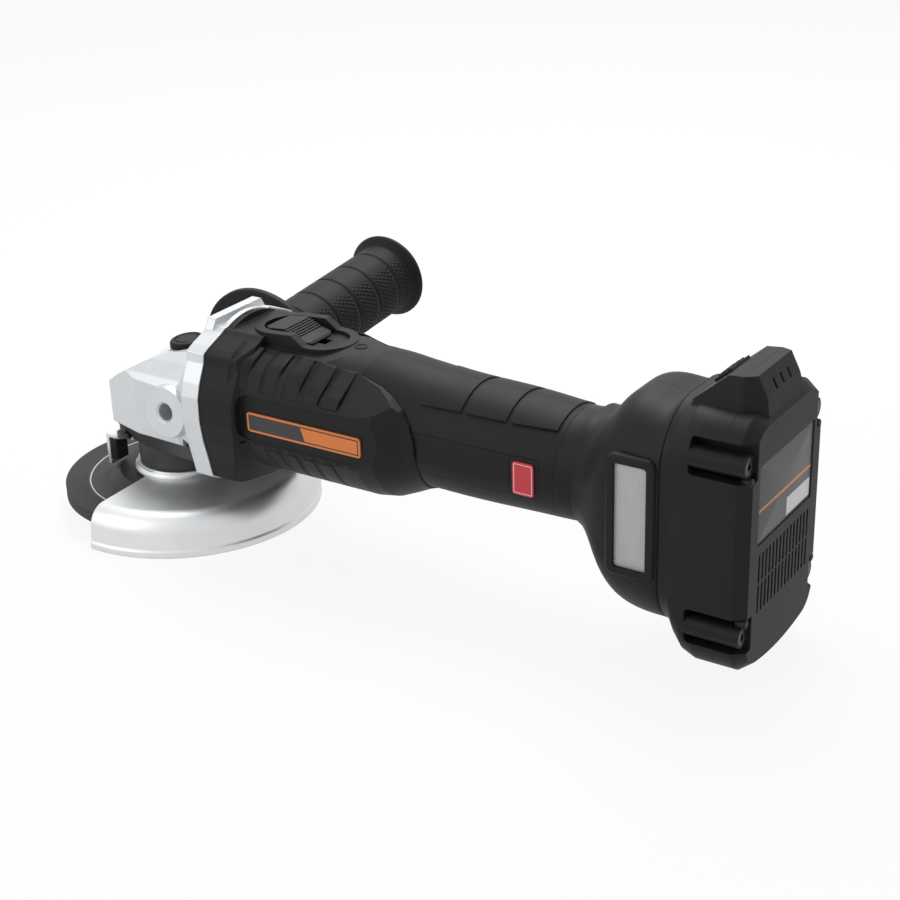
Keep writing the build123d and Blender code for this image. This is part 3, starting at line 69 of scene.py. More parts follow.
class Amount:
    """A number that varies over a surface. Sums on it add Math nodes to the finish it is in."""

    def __init__(self, tree, socket):
        self.tree = tree
        self.socket = socket

    def reckon(self, operation, first, second, clamp=False):
        """Return the result of one Math node on two amounts or numbers."""
        node = self.tree.nodes.new("ShaderNodeMath")
        node.operation = operation
        node.use_clamp = clamp
        for entry, value in zip(node.inputs, (first, second)):
            if isinstance(value, Amount):
                self.tree.links.new(value.socket, entry)
            else:
                entry.default_value = value
        return Amount(self.tree, node.outputs[0])

    def __add__(self, other):
        return self.reckon("ADD", self, other)

    def __sub__(self, other):
        return self.reckon("SUBTRACT", self, other)

    def __mul__(self, other):
        return self.reckon("MULTIPLY", self, other)

    def __pow__(self, other):
        return self.reckon("POWER", self, other)

    def __rsub__(self, other):
        return self.reckon("SUBTRACT", other, self)

    __radd__ = __add__
    __rmul__ = __mul__

    def rise(self, low, high):
        """Return 0 below low and 1 above high, with a straight ramp between them."""
        return self.reckon("MULTIPLY", self - low, 1 / (high - low), clamp=True)

    def band(self, low, high, soft):
        """Return 1 between low and high and 0 outside, with edges this soft."""
        return self.rise(low - soft, low) * (1 - self.rise(high, high + soft))

    def larger(self, other):
        """Return the larger of two amounts."""
        return self.reckon("MAXIMUM", self, other)


class Finish:
    """One surface finish: a Principled shader and the nodes that vary it over the surface."""

    def __init__(self, name, roughness, metallic=0.0, specular=0.5, coat=0.0):
        self.material = bpy.data.materials.new(name)
        self.material.use_nodes = True
        self.tree = self.material.node_tree
        self.shader = self.tree.nodes["Principled BSDF"]
        self.feed(self.shader.inputs["Roughness"], roughness)
        self.feed(self.shader.inputs["Metallic"], metallic)
        self.feed(self.shader.inputs["Specular IOR Level"], specular)
        self.feed(self.shader.inputs["Coat Weight"], coat)

    def feed(self, entry, value):
        """Link an amount to a socket, or set the socket to a plain value."""
        if isinstance(value, Amount):
            self.tree.links.new(value.socket, entry)
        elif isinstance(value, tuple) and entry.type == "RGBA":
            entry.default_value = (*value, 1)
        else:
            entry.default_value = value

    def node(self, kind, settings=(), inputs=(), output=0):
        """Add a node: its settings are set first, then the values or links of its sockets."""
        added = self.tree.nodes.new(kind)
        for name, value in dict(settings).items():
            setattr(added, name, value)
        for name, value in dict(inputs).items():
            self.feed(added.inputs[name], value)
        return Amount(self.tree, added.outputs[output])

    def place(self):
        """Return the point on the piece, in metres in the part's frame."""
        return self.node("ShaderNodeTexCoord", output="Object")

    def along(self, axis):
        """Return the point's distance along X, Y or Z."""
        return self.node("ShaderNodeSeparateXYZ", inputs={"Vector": self.place()}, output=axis)

    def grain(self, size, detail=2.0, stretch=(1, 1, 1)):
        """Return soft noise from 0 to 1 whose spots are about this size in metres."""
        place = self.node("ShaderNodeMapping", inputs={"Vector": self.place(), "Scale": stretch})
        return self.node("ShaderNodeTexNoise", inputs={"Vector": place, "Scale": 1 / size,
                                                       "Detail": detail}, output="Fac")

    def blend(self, share, first, second):
        """Return a colour that goes from first to second as share goes from 0 to 1."""
        return self.node("ShaderNodeMix", {"data_type": "RGBA"},
                         {0: share, 6: first, 7: second}, output=2)

    def colour(self, value):
        """Give the finish its colour."""
        self.feed(self.shader.inputs["Base Color"], value)

    def wave(self, distance, pitch):
        """Return a sine wave from -1 to 1 that comes round once in each pitch of a distance."""
        return self.node("ShaderNodeMath", {"operation": "SINE"}, {0: distance * (2 * pi / pitch)})

    def rounded(self, radius):
        """Return the direction the surface faces, as if its edges had this radius."""
        return self.node("ShaderNodeBevel", {"samples": 4}, {"Radius": radius})

    def relief(self, height, depth, round_edge=0.0, strength=1.0):
        """Raise the surface by height, from 0 to 1, times depth in metres, and round its edges."""
        inputs = {"Height": height, "Distance": depth, "Strength": strength}
        if round_edge:
            inputs["Normal"] = self.rounded(round_edge)
        self.feed(self.shader.inputs["Normal"], self.node("ShaderNodeBump", inputs=inputs))

    def edges(self, width):
        """Return 1 on the sharp edges of a piece and 0 on its flat faces.

        It is the amount by which the rounded direction leaves the flat one.
        """
        least, most = 0.02, 0.3
        flat = self.node("ShaderNodeNewGeometry", output="Normal")
        match = self.node("ShaderNodeVectorMath", {"operation": "DOT_PRODUCT"},
                          {0: self.rounded(width), 1: flat}, output="Value")
        return (1 - match).rise(least, most)


def dress(finish, *names):
    """Give pieces that come from the construction model their finish."""
    for name in names:
        materials = frame["nodes"][name].data.materials
        for index in range(len(materials)):
            materials[index] = finish.material


def cast_silver():
    """Pale silver lacquer over a blasted casting: fine sparkle, faint mottling, bright edges."""
    mottle = 9 * mm
    sparkle = 0.35 * mm
    finish = Finish("cast_silver", 0.36, metallic=0.55, specular=0.4)
    broad = finish.grain(mottle, 3.0)
    fine = finish.grain(sparkle, 2.0)
    worn = finish.edges(0.5 * mm)
    body = finish.blend(broad, (0.60, 0.62, 0.635), (0.68, 0.70, 0.71))
    finish.colour(finish.blend(worn * 0.6, body, (0.80, 0.81, 0.81)))
    finish.feed(finish.shader.inputs["Roughness"], 0.30 + 0.12 * fine + 0.06 * broad)
    finish.relief(fine, 0.02 * mm, round_edge=0.7 * mm, strength=0.5)
    return finish


silver = cast_silver()
dress(silver, "gear_housing")


# ---- Bearing cover and screws ----------------------------------------------------------------
# The bearing cover closes the head from below and carries the guard's collar. It is a blackened
# casting held by four socket screws; four more hold the head to the motor housing.

def black_casting():
    """Black lacquer on a casting, a little glossy, rubbed grey along its edges."""
    finish = Finish("black_casting", 0.45, specular=0.25)
    broad = finish.grain(6 * mm, 3.0)
    fine = finish.grain(0.4 * mm)
    rubbed = finish.edges(0.35 * mm)
    body = finish.blend(broad, (0.042, 0.042, 0.044), (0.06, 0.06, 0.062))
    finish.colour(finish.blend(rubbed * 0.35, body, (0.12, 0.12, 0.12)))
    finish.feed(finish.shader.inputs["Roughness"], 0.36 + 0.2 * fine)
    finish.relief(fine, 0.02 * mm, round_edge=0.5 * mm, strength=0.5)
    return finish


def dark_steel():
    """Blackened steel: nearly black, with a brown cast in patches and a dull shine."""
    finish = Finish("dark_steel", 0.4, metallic=0.9)
    broad = finish.grain(3 * mm, 4.0)
    fine = finish.grain(0.25 * mm)
    rubbed = finish.edges(0.25 * mm)
    body = finish.blend(broad, (0.055, 0.054, 0.056), (0.11, 0.10, 0.095))
    finish.colour(finish.blend(rubbed * 0.5, body, (0.3, 0.3, 0.3)))
    finish.feed(finish.shader.inputs["Roughness"], 0.3 + 0.2 * fine)
    finish.relief(fine, 0.015 * mm, round_edge=0.3 * mm, strength=0.4)
    return finish


blackened = dark_steel()
dress(black_casting(), "bearing_cover")
dress(blackened, "cover_screws", "flange_screws")


# ---- Bevel pair, spindle and bearings --------------------------------------------------------
# Ground and turned steel parts inside the head: the pinion on the motor shaft drives the crown
# gear, which turns the spindle in its ball bearing below and its bush above. The bush fills its
# bore in the casting, so it has the casting's finish.

def turned_steel():
    """Turned steel: fine rings left by the tool, under a thin film of grease."""
    ring = 0.3 * mm
    finish = Finish("turned_steel", 0.28, metallic=1.0)
    streaks = finish.grain(ring, 3.0, stretch=(0.2, 0.2, 1.5))
    broad = finish.grain(5 * mm)
    finish.colour(finish.blend(broad, (0.52, 0.52, 0.53), (0.66, 0.66, 0.66)))
    finish.feed(finish.shader.inputs["Roughness"], 0.2 + 0.2 * streaks)
    finish.relief(streaks, 0.01 * mm, strength=0.4)
    return finish


steel = turned_steel()
dress(steel, "inner_flange", "spindle", "crown_gear", "pinion", "spindle_bearing", "bearing_clip",
      "rotor_shaft", "front_motor_bearing", "rear_motor_bearing")
dress(silver, "upper_bush")


# ---- Grinding disc and lock nut --------------------------------------------------------------
# A depressed-centre disc of resin-bonded grit with a glass mesh in it. A black paper label with
# two thin rings lies round its hub on the upper side. The lock nut clamps the disc.

def bonded_grit():
    """Dark bonded grit whose woven glass shows through, with a plain label ring on its top."""
    label_inner = 21 * mm
    label_outer = 47 * mm
    upper_face = 5.5 * mm
    line = 0.5 * mm
    soft = 0.1 * mm
    weave = 2.4 * mm
    finish = Finish("bonded_grit", 0.8, specular=0.3)
    x = finish.along("X")
    y = finish.along("Y")
    radius = (x * x + y * y) ** 0.5
    grit = finish.grain(0.5 * mm, 3.0)
    patches = finish.grain(7 * mm, 2.0)
    warp = finish.wave(x, weave)
    weft = finish.wave(y, weave)
    mesh = (warp * warp * (weft * weft)).rise(0.1, 0.9)
    stone = finish.blend(grit, (0.018, 0.017, 0.016), (0.085, 0.080, 0.075))
    stone = finish.blend(mesh * 0.25 * patches, stone, (0.11, 0.10, 0.09))
    paper = finish.blend(patches, (0.018, 0.018, 0.019), (0.026, 0.026, 0.027))
    inner_line = radius.band(label_inner + 3 * line, label_inner + 4 * line, soft)
    outer_line = radius.band(label_outer - 3 * line, label_outer - 2 * line, soft)
    printed = finish.blend(inner_line.larger(outer_line), paper, (0.62, 0.62, 0.60))
    top = finish.along("Z").rise(upper_face, upper_face + soft)
    label = radius.band(label_inner, label_outer, soft) * top
    finish.colour(finish.blend(label, stone, printed))
    finish.feed(finish.shader.inputs["Roughness"], 0.85 - 0.35 * label)
    finish.relief((grit + 0.4 * mesh) * (1 - 0.9 * label), 0.12 * mm, strength=0.7)
    return finish


dress(bonded_grit(), "grinding_disc")
dress(blackened, "lock_nut")


# ---- Spindle lock ----------------------------------------------------------------------------
# A black moulded button on top of the head pushes a steel pin into the crown gear, and a
# coil spring lifts it again.

def black_plastic(name):
    """Glass-filled nylon with a fine spark-eroded texture, a little shinier on rubbed edges."""
    finish = Finish(name, 0.5, specular=0.16)
    texture = finish.grain(0.55 * mm, 3.0)
    broad = finish.grain(16 * mm, 3.0)
    rubbed = finish.edges(0.6 * mm)
    body = finish.blend(broad, (0.0095, 0.0095, 0.0098), (0.0135, 0.0135, 0.0138))
    finish.colour(finish.blend(rubbed * 0.45, body, (0.04, 0.04, 0.041)))
    finish.feed(finish.shader.inputs["Roughness"], 0.42 + 0.16 * texture - 0.1 * rubbed)
    finish.relief(texture, 0.035 * mm, round_edge=0.8 * mm, strength=0.55)
    return finish


plastic = black_plastic("black_plastic")
dress(plastic, "lock_button")
dress(steel, "lock_pin", "lock_spring")


# ---- Guard and its lever ---------------------------------------------------------------------
# The guard is deep-drawn steel sheet, plated bright and brushed round its rim. Its lever is a
# bent steel tab with a black pad, turning on a pin.

def plated_sheet():
    """Bright plated sheet steel, brushed round the spindle axis, with faint smears."""
    finish = Finish("plated_sheet", 0.3, metallic=0.9)
    brushing = finish.grain(0.6 * mm, 3.0, stretch=(0.12, 0.12, 3.0))
    smear = finish.grain(22 * mm, 3.0)
    worn = finish.edges(0.4 * mm)
    body = finish.blend(smear, (0.66, 0.675, 0.685), (0.76, 0.77, 0.775))
    finish.colour(finish.blend(worn * 0.5, body, (0.88, 0.88, 0.88)))
    finish.feed(finish.shader.inputs["Roughness"], 0.34 + 0.10 * brushing + 0.08 * smear)
    finish.relief(brushing, 0.012 * mm, round_edge=0.9 * mm, strength=0.35)
    return finish


plated = plated_sheet()
dress(plated, "guard", "guard_lever")
dress(steel, "lever_pin")
dress(plastic, "lever_pad")


# ---- Side handle -----------------------------------------------------------------------------
# A stiff black core with a wide stop disc screws into either side of the head. The sleeve moulded
# over it is soft, with ring grooves and a raised scale pattern where fingers and palm close.

def handle_frame():
    """Return the point where the handle screws in and the direction in which it stands out.

    The stated mount is the free hole on the near side. The handle is in its mirror image.
    """
    mount = next(m for m in frame["record"]["mounts"] if m["name"] == "handle_hole")
    point = Vector(mount["pos_m"])
    outward = Vector(mount["axis"])
    return Vector((point.x, -point.y, point.z)), Vector((outward.x, -outward.y, outward.z))


handle_mouth, handle_out = handle_frame()
handle_across = Vector((1, 0, 0))
handle_up = handle_across.cross(handle_out)


def mesh_from_grid(name, grid, finish):
    """Build a closed piece from a grid of points.

    Each row of the grid is a ring, joined to the ring in the next row. Points that fall
    together, as at a pole, are merged, and faces are turned outwards.
    """
    together = 0.001 * mm
    rows, columns = grid.shape[:2]
    index = np.arange(rows * columns).reshape(rows, columns)
    index = np.hstack([index, index[:, :1]])
    corners = (index[:-1, :-1], index[:-1, 1:], index[1:, 1:], index[1:, :-1])
    faces = np.stack(corners, -1).reshape(-1, 4)
    mesh = bpy.data.meshes.new(name)
    mesh.from_pydata(grid.reshape(-1, 3), [], faces.tolist())
    shape = bmesh.new()
    shape.from_mesh(mesh)
    bmesh.ops.remove_doubles(shape, verts=shape.verts, dist=together)
    bmesh.ops.recalc_face_normals(shape, faces=shape.faces)
    if shape.calc_volume(signed=True) < 0:
        bmesh.ops.reverse_faces(shape, faces=shape.faces)
    shape.to_mesh(mesh)
    shape.free()
    mesh.shade_smooth()
    mesh.materials.append(finish.material)
    made = bpy.data.objects.new(name, mesh)
    bpy.context.collection.objects.link(made)
    return made


def soft_rubber(name, grooves=None):
    """Soft-touch rubber: dull, very fine grained, with lines cut in it where grooves says so, and
    painted near black there as shade in the cuts.
    """
    grain_height, groove_depth = 0.02 * mm, 0.24 * mm
    finish = Finish(name, 0.55, specular=0.15)
    fine = finish.grain(0.35 * mm, 2.0)
    broad = finish.grain(20 * mm, 3.0)
    rubbed = finish.edges(0.5 * mm)
    body = finish.blend(broad, (0.0105, 0.0105, 0.0108), (0.0150, 0.0150, 0.0153))
    shade = finish.blend(rubbed * 0.3, body, (0.045, 0.045, 0.046))
    height = fine
    if grooves:
        line = grooves(finish)
        # Painted shade: the groove lines get a near-black colour, as if shade fell in them; the
        # bump below also cuts them in.
        shade = finish.blend(line, shade, (0.002, 0.002, 0.002))
        height = fine - (groove_depth / grain_height) * line
    finish.colour(shade)
    finish.feed(finish.shader.inputs["Roughness"], 0.44 + 0.14 * fine + 0.05 * broad)
    finish.relief(height, grain_height, round_edge=0.6 * mm, strength=0.5)
    return finish


def sleeve_grid(length, radius, wide, bore):
    """The sleeve's surface: a radius for each reach along the handle, turned round its axis.

    The radius is constant with a bell-shaped dip at each ring groove, then flares to the end
    flange by a smooth step. On the two palm sides pointed scales stand out of it: the lower of
    two slanting cosine waves, which cross. They fade towards the grooves, the flange, and the
    top and bottom. The bore and the ends are profile points, turned round the axis as well.
    """
    start = 30.5 * mm
    grooves = np.array([38.5, 55.3, 72.5, 89.7, 107.0]) * mm
    groove_width, groove_depth = 0.75 * mm, 0.8 * mm
    flare_start, flare_end = length - 7.5 * mm, length - 3.2 * mm
    lip_width, lip_drop = 1.4 * mm, 0.7 * mm
    scale_long, scale_round = 8.2 * mm, 25
    scale_top, scale_valley, steepness = 0.3 * mm, 0.5 * mm, 2
    palm_edge, palm_fade = 0.62, 0.12
    groove_margin, margin_fade, flare_fade = 1.8 * mm, 0.8 * mm, 2 * mm

    reach = np.linspace(start + 1.5 * mm, length - lip_width, 230)
    angle = np.linspace(0, 2 * pi, 400, endpoint=False)
    along, turn = np.meshgrid(reach, angle, indexing="ij")
    gap = np.abs(reach[:, None] - grooves).min(1)[:, None]
    dip = groove_depth * np.exp(-(gap / groove_width) ** 2)
    ease = np.clip((along - flare_start) / (flare_end - flare_start), 0, 1)
    flare = (wide - radius) * ease ** 2 * (3 - 2 * ease)
    lip = lip_drop * np.clip(1 - (length - lip_width - along) / lip_width, 0, 1) ** 2

    palm = np.clip((np.abs(np.cos(turn)) - palm_edge) / palm_fade, 0, 1)
    off_grooves = np.clip((gap - groove_margin) / margin_fade, 0, 1)
    off_flare = np.clip((flare_start - along) / flare_fade, 0, 1)
    slant, twist = 2 * pi * along / scale_long, scale_round * turn
    waves = np.minimum(np.abs(np.cos(slant + twist)), np.abs(np.cos(slant - twist)))
    scales = np.clip(waves * steepness, 0, 1) * (scale_top + scale_valley) - scale_valley
    outer = radius - dip + flare - lip + scales * palm * off_grooves * off_flare

    bore_end, dish = length - 5.98 * mm, length - 1 * mm
    front = [(start, bore), (start, radius - 1.5 * mm), (start + 0.5 * mm, radius - 0.5 * mm)]
    rear = [(length - 0.5 * mm, wide - 1.4 * mm), (length, wide - 3 * mm),
            (length - 0.4 * mm, wide - 5 * mm), (dish, wide - 9 * mm), (dish, 0)]
    hollow = [(bore_end, 0), (bore_end, bore)]
    spread = np.ones_like(angle)
    rows = [(a * spread, r * spread) for a, r in hollow + front]
    rows += list(zip(along, outer))
    rows += [(a * spread, r * spread) for a, r in rear]
    along = np.array([row[0] for row in rows])[..., None]
    outer = np.array([row[1] for row in rows])[..., None]
    turn = np.broadcast_to(angle, along.shape[:2])[..., None]
    side = np.cos(turn) * np.array(handle_across) + np.sin(turn) * np.array(handle_up)
    return np.array(handle_mouth) + along * np.array(handle_out) + outer * side


sleeve_shape = sleeve_grid(length=124.5 * mm, radius=18 * mm, wide=22.2 * mm, bore=14.02 * mm)
sleeve = mesh_from_grid("handle_sleeve_soft", sleeve_shape, soft_rubber("soft_rubber"))
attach(sleeve, "housing")
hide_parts("handle_sleeve")
dress(plastic, "handle_core")
dress(steel, "handle_stud")


# ---- Motor housing ---------------------------------------------------------------------------
# One black moulding from the head's flange to the grip. Shallow shingled ribs run down from the
# switch on both sides and again under the label pocket; I and O marks stand at the switch's ends.

dress(plastic, "motor_housing")
motor_height = 61.2 * mm


def barrel_surface(station, angles):
    """Return points on the motor housing at a station, at these angles above the level.

    Each is found along a line towards the motor axis. The distance is then the largest of a few
    neighbours, averaged over a few more, so that the ribs bridge any dip or opening in the wall.
    """
    housing = frame["nodes"]["motor_housing"]
    beyond, neighbours = 80 * mm, 5
    axis = np.array([station, 0, motor_height])
    outward = np.stack([np.zeros_like(angles), np.cos(angles), np.sin(angles)], -1)
    hits = [housing.ray_cast(Vector(axis + way * beyond), -Vector(way))[1] for way in outward]
    radius = ((np.array(hits) - axis) * outward).sum(1)
    for settle in (np.max, np.mean):
        padded = np.pad(radius, neighbours, mode="edge")
        windows = np.lib.stride_tricks.sliding_window_view(padded, 2 * neighbours + 1)
        radius = settle(windows, axis=-1)
    return axis + radius[:, None] * outward, outward


def shingle(name, station, start, end):
    """A shallow rib across the barrel: a wedge section carried round the motor axis.

    The first parameter goes round the axis from start to end, in degrees above the level; the
    second goes round the wedge, which rises slowly over its width and drops at its steep side.
    It lies on the barrel at both its edges, and from half way its height fades to nothing.
    The wedge's points are shares of its width and of its height or, below the barrel, its foot.
    """
    width, height, foot = 9 * mm, 0.32 * mm, 0.6 * mm
    section = np.array([(0, -1), (0, 0), (0.4, 0.42), (0.7, 0.75), (0.92, 1), (1, 0.8),
                        (1.03, 0), (1.03, -1)])
    angles = np.radians(np.linspace(start, end, 41))
    front, outward = barrel_surface(station - width, angles)
    rear = barrel_surface(station, angles)[0]
    fade = np.clip(np.linspace(2, 0, len(angles)), 0, 1)
    across = section[None, :, :1]
    lift = section[None, :, 1:]
    lift = np.where(lift > 0, lift * height * fade[:, None, None], lift * foot)
    grid = (1 - across) * front[:, None] + across * rear[:, None] + lift * outward[:, None]
    middle = grid.mean(1, keepdims=True)
    ends = [np.repeat(middle[end], grid.shape[1], 0)[None] for end in (0, -1)]
    return mesh_from_grid(name, np.concatenate([ends[0], grid, ends[1]]), plastic)


def both_sides(angle, side):
    """Return the angle itself on the far side, and its mirror image on the near side."""
    return angle if side == "far" else 180 - angle


rib_rows = {"upper": ((70, 86, 98, 108.5, 118.5), 56, 20),
            "lower": ((86, 95.5, 105, 115), -24, -60)}
for side in ("near", "far"):
    for row, (stations, start, end) in rib_rows.items():
        for number, station in enumerate(stations):
            rib = shingle(f"{row}_rib_{side}_{number}", station * mm,
                          both_sides(start, side), both_sides(end, side))
            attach(rib, "housing")


def swept_mark(name, path, half_width, height, finish):
    """A raised mark: a low round section carried along a level path, closed at both ends."""
    turn = np.linspace(0, 2 * pi, 12, endpoint=False)
    step = np.gradient(path, axis=0)
    step /= np.linalg.norm(step, axis=1, keepdims=True)
    across = np.stack([-step[:, 1], step[:, 0], np.zeros(len(step))], -1)
    upward = np.array([0, 0, 1])
    grid = (path[:, None, :] + half_width * np.cos(turn)[None, :, None] * across[:, None, :]
            + height * np.sin(turn)[None, :, None] * upward)
    ends = [np.repeat(path[end][None, None, :], len(turn), 1) for end in (0, -1)]
    return mesh_from_grid(name, np.concatenate([ends[0], grid, ends[1]]), finish)


def top_of_housing(x, y):
    """Return the height of the motor housing's upper surface at a point."""
    above = Vector((x, y, 140 * mm))
    return frame["nodes"]["motor_housing"].ray_cast(above, Vector((0, 0, -1)))[1].z


mark_line, mark_height = 0.5 * mm, 0.45 * mm
on_x, on_half = 47.5 * mm, 2.8 * mm
off_x, off_radius = 109.5 * mm, 2.5 * mm
stroke = np.linspace(-on_half, on_half, 9)
circle = np.linspace(0, 2 * pi, 33)
on_path = np.stack([np.full_like(stroke, on_x), stroke, np.zeros_like(stroke)], -1)
off_path = np.stack([off_x + np.cos(circle) * off_radius, np.sin(circle) * off_radius,
                     np.zeros_like(circle)], -1)
for path in (on_path, off_path):
    path[:, 2] = [top_of_housing(x, y) for x, y in path[:, :2]]
on_mark = swept_mark("on_mark", on_path, mark_line, mark_height, plastic)
off_mark = swept_mark("off_mark", off_path, mark_line, mark_height, plastic)
for mark in (on_mark, off_mark):
    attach(mark, "housing")


# ---- Label plate -----------------------------------------------------------------------------
# A thin printed plate in the pocket of the near side: black, with an orange rim and an orange
# field at its rear half. It carries no words.

def within(x, z, low, high, inset, soft):
    """Return 1 inside a box's outline in X and Z, pulled in by the inset, and 0 outside it."""
    return (x.band(low.x + inset, high.x - inset, soft)
            * z.band(low.z + inset, high.z - inset, soft))


def printed_plate():
    """Printed film: orange rim and field on black, under a satin varnish."""
    low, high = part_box("label_plate")
    rim, border, soft = 1.0 * mm, 1.6 * mm, 0.08 * mm
    slope = 0.35
    split = (low.x + high.x) / 2 + 1.5 * mm + slope * low.z
    finish = Finish("printed_plate", 0.35, specular=0.45, coat=0.15)
    x = finish.along("X")
    z = finish.along("Z")
    field = within(x, z, low, high, rim, soft)
    inner = within(x, z, low, high, border, soft)
    rear = (x + slope * z).rise(split, split + 0.1 * mm)
    ink = finish.grain(0.5 * mm)
    orange = finish.blend(ink, (0.66, 0.17, 0.022), (0.76, 0.21, 0.03))
    black = finish.blend(ink, (0.013, 0.013, 0.014), (0.02, 0.02, 0.021))
    finish.colour(finish.blend(field * (1 - rear * inner), orange, black))
    finish.feed(finish.shader.inputs["Roughness"], 0.3 + 0.12 * ink)
    finish.relief(ink, 0.01 * mm, round_edge=0.2 * mm, strength=0.3)
    return finish


dress(printed_plate(), "label_plate")


# ---- Motor -----------------------------------------------------------------------------------
# The brushless motor's laminated stator with its copper windings, the rotor with its fan, and
# the baffle that turns the fan's air out past the gear head.

def laminations():
    """Stacked sheet steel: fine dark lines across the motor's axis, with a blued surface."""
    sheet = 0.5 * mm
    finish = Finish("laminations", 0.45, metallic=0.85)
    shade = finish.wave(finish.along("X"), sheet).rise(-1.0, 1.0)
    broad = finish.grain(4 * mm)
    finish.colour(finish.blend(shade * 0.7 + 0.3 * broad, (0.10, 0.105, 0.12), (0.30, 0.30, 0.31)))
    finish.relief(shade, 0.04 * mm, strength=0.6)
    return finish


def copper_wire():
    """Enamelled copper wire laid side by side, painted darker between the wires as shade and
    lighter on their crests as highlight.
    """
    wire = 0.8 * mm
    finish = Finish("copper_wire", 0.3, metallic=0.9, coat=0.4)
    shade = finish.wave(finish.along("Z"), wire).rise(-1.0, 1.0)
    # Painted shade and highlight: the colour goes from dark copper between the round wires to
    # bright copper on their crests, once per wire.
    finish.colour(finish.blend(shade, (0.25, 0.075, 0.025), (0.66, 0.26, 0.11)))
    finish.relief(shade, 0.1 * mm, strength=0.8)
    return finish


dress(laminations(), "stator_core", "rotor_core")
dress(copper_wire(), "stator_windings", "battery_contacts")
dress(plastic, "fan", "fan_baffle")


# ---- Switch and electronics ------------------------------------------------------------------
# The thumb slider runs in its track on top of the housing and moves a link to the microswitch.
# A coated board controls the motor, and a terminal block takes the battery's contacts.

def slider_plastic():
    """The slider's smoother nylon, polished by the thumb on its ribs."""
    finish = Finish("slider_plastic", 0.4, specular=0.2)
    texture = finish.grain(0.5 * mm, 2.0)
    polished = finish.edges(0.4 * mm)
    finish.colour(finish.blend(polished * 0.5, (0.011, 0.011, 0.0115), (0.04, 0.04, 0.04)))
    finish.feed(finish.shader.inputs["Roughness"], 0.42 + 0.14 * texture - 0.12 * polished)
    finish.relief(texture, 0.02 * mm, round_edge=0.4 * mm, strength=0.4)
    return finish


def circuit_board():
    """Green solder mask over tracks, under a clear conformal coat."""
    finish = Finish("circuit_board", 0.35, specular=0.5, coat=0.5)
    spacing = 3 * mm
    tracks = finish.node("ShaderNodeTexVoronoi", {"distance": "MANHATTAN"},
                         {"Vector": finish.place(), "Scale": 1 / spacing})
    finish.colour(finish.blend(tracks.rise(0.3, 0.5), (0.01, 0.09, 0.035), (0.02, 0.16, 0.06)))
    finish.relief(tracks, 0.05 * mm, strength=0.4)
    return finish


smooth_plastic = slider_plastic()
dress(smooth_plastic, "switch_slider", "switch_link", "microswitch", "terminal_block")
dress(circuit_board(), "control_board")


# ---- Grip ------------------------------------------------------------------------------------
# Two black shells screwed together, with soft rubber moulded over them in wide bands. A plain
# red badge is set into the panel on the near side.

def badge_film():
    """Red printed film with a fine white line just inside its edge."""
    low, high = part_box("grip_badge")
    inset, line, soft = 0.7 * mm, 0.35 * mm, 0.05 * mm
    finish = Finish("badge_film", 0.32, specular=0.45, coat=0.2)
    x = finish.along("X")
    z = finish.along("Z")
    outside = within(x, z, low, high, inset, soft)
    inside = within(x, z, low, high, inset + line, soft)
    ink = finish.grain(0.5 * mm)
    red = finish.blend(ink, (0.52, 0.016, 0.030), (0.62, 0.022, 0.04))
    finish.colour(finish.blend(outside * (1 - inside), red, (0.8, 0.55, 0.55)))
    finish.relief(ink, 0.01 * mm, round_edge=0.2 * mm, strength=0.3)
    return finish


def panel_grooves_and_shade(finish):
    """The outline of the grip's side panel, and a divider in front of the badge. The rubber is
    dented there and painted dark as shade in the grooves.
    """
    badge_low, badge_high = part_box("grip_badge")
    end_margin, side_margin = 2 * mm, 1.8 * mm
    front, rear = 150 * mm, badge_high.x + end_margin
    bottom, top = badge_low.z - side_margin, badge_high.z + side_margin
    divider = badge_low.x - end_margin
    groove, soft = 0.45 * mm, 0.12 * mm
    x = finish.along("X")
    z = finish.along("Z")
    outer = x.band(front, rear, soft) * z.band(bottom, top, soft)
    inner = x.band(front, rear - groove, soft) * z.band(bottom + groove, top - groove, soft)
    return outer * (1 - inner * (1 - x.band(divider, divider + groove, soft)))


dress(plastic, "grip_shell_left", "grip_shell_right")
# The grip rubber's panel grooves are painted dark, as painted shade in them.
dress(soft_rubber("grip_rubber", panel_grooves_and_shade), "grip_rubber_left", "grip_rubber_right")
dress(blackened, "shell_screws")
dress(badge_film(), "grip_badge")


# ---- Air filters -----------------------------------------------------------------------------
# On each side of the foot a fine steel screen keeps grit out of the motor's cooling air, held
# in a black frame that clips off for cleaning.

def fine_screen():
    """Woven stainless screen: two crossed rows of fine pale wire over a darker ground."""
    pitch = 0.9 * mm
    finish = Finish("fine_screen", 0.5, metallic=0.25, specular=0.4)
    upright = finish.wave(finish.along("X"), pitch).rise(-1.0, 0.8)
    level = finish.wave(finish.along("Z"), pitch).rise(-1.0, 0.8)
    wires = upright.larger(level)
    dust = finish.grain(6 * mm, 3.0)
    wire = finish.blend(dust, (0.46, 0.46, 0.46), (0.54, 0.54, 0.54))
    finish.colour(finish.blend(wires, (0.30, 0.30, 0.30), wire))
    finish.relief(wires, 0.12 * mm, strength=0.6)
    return finish


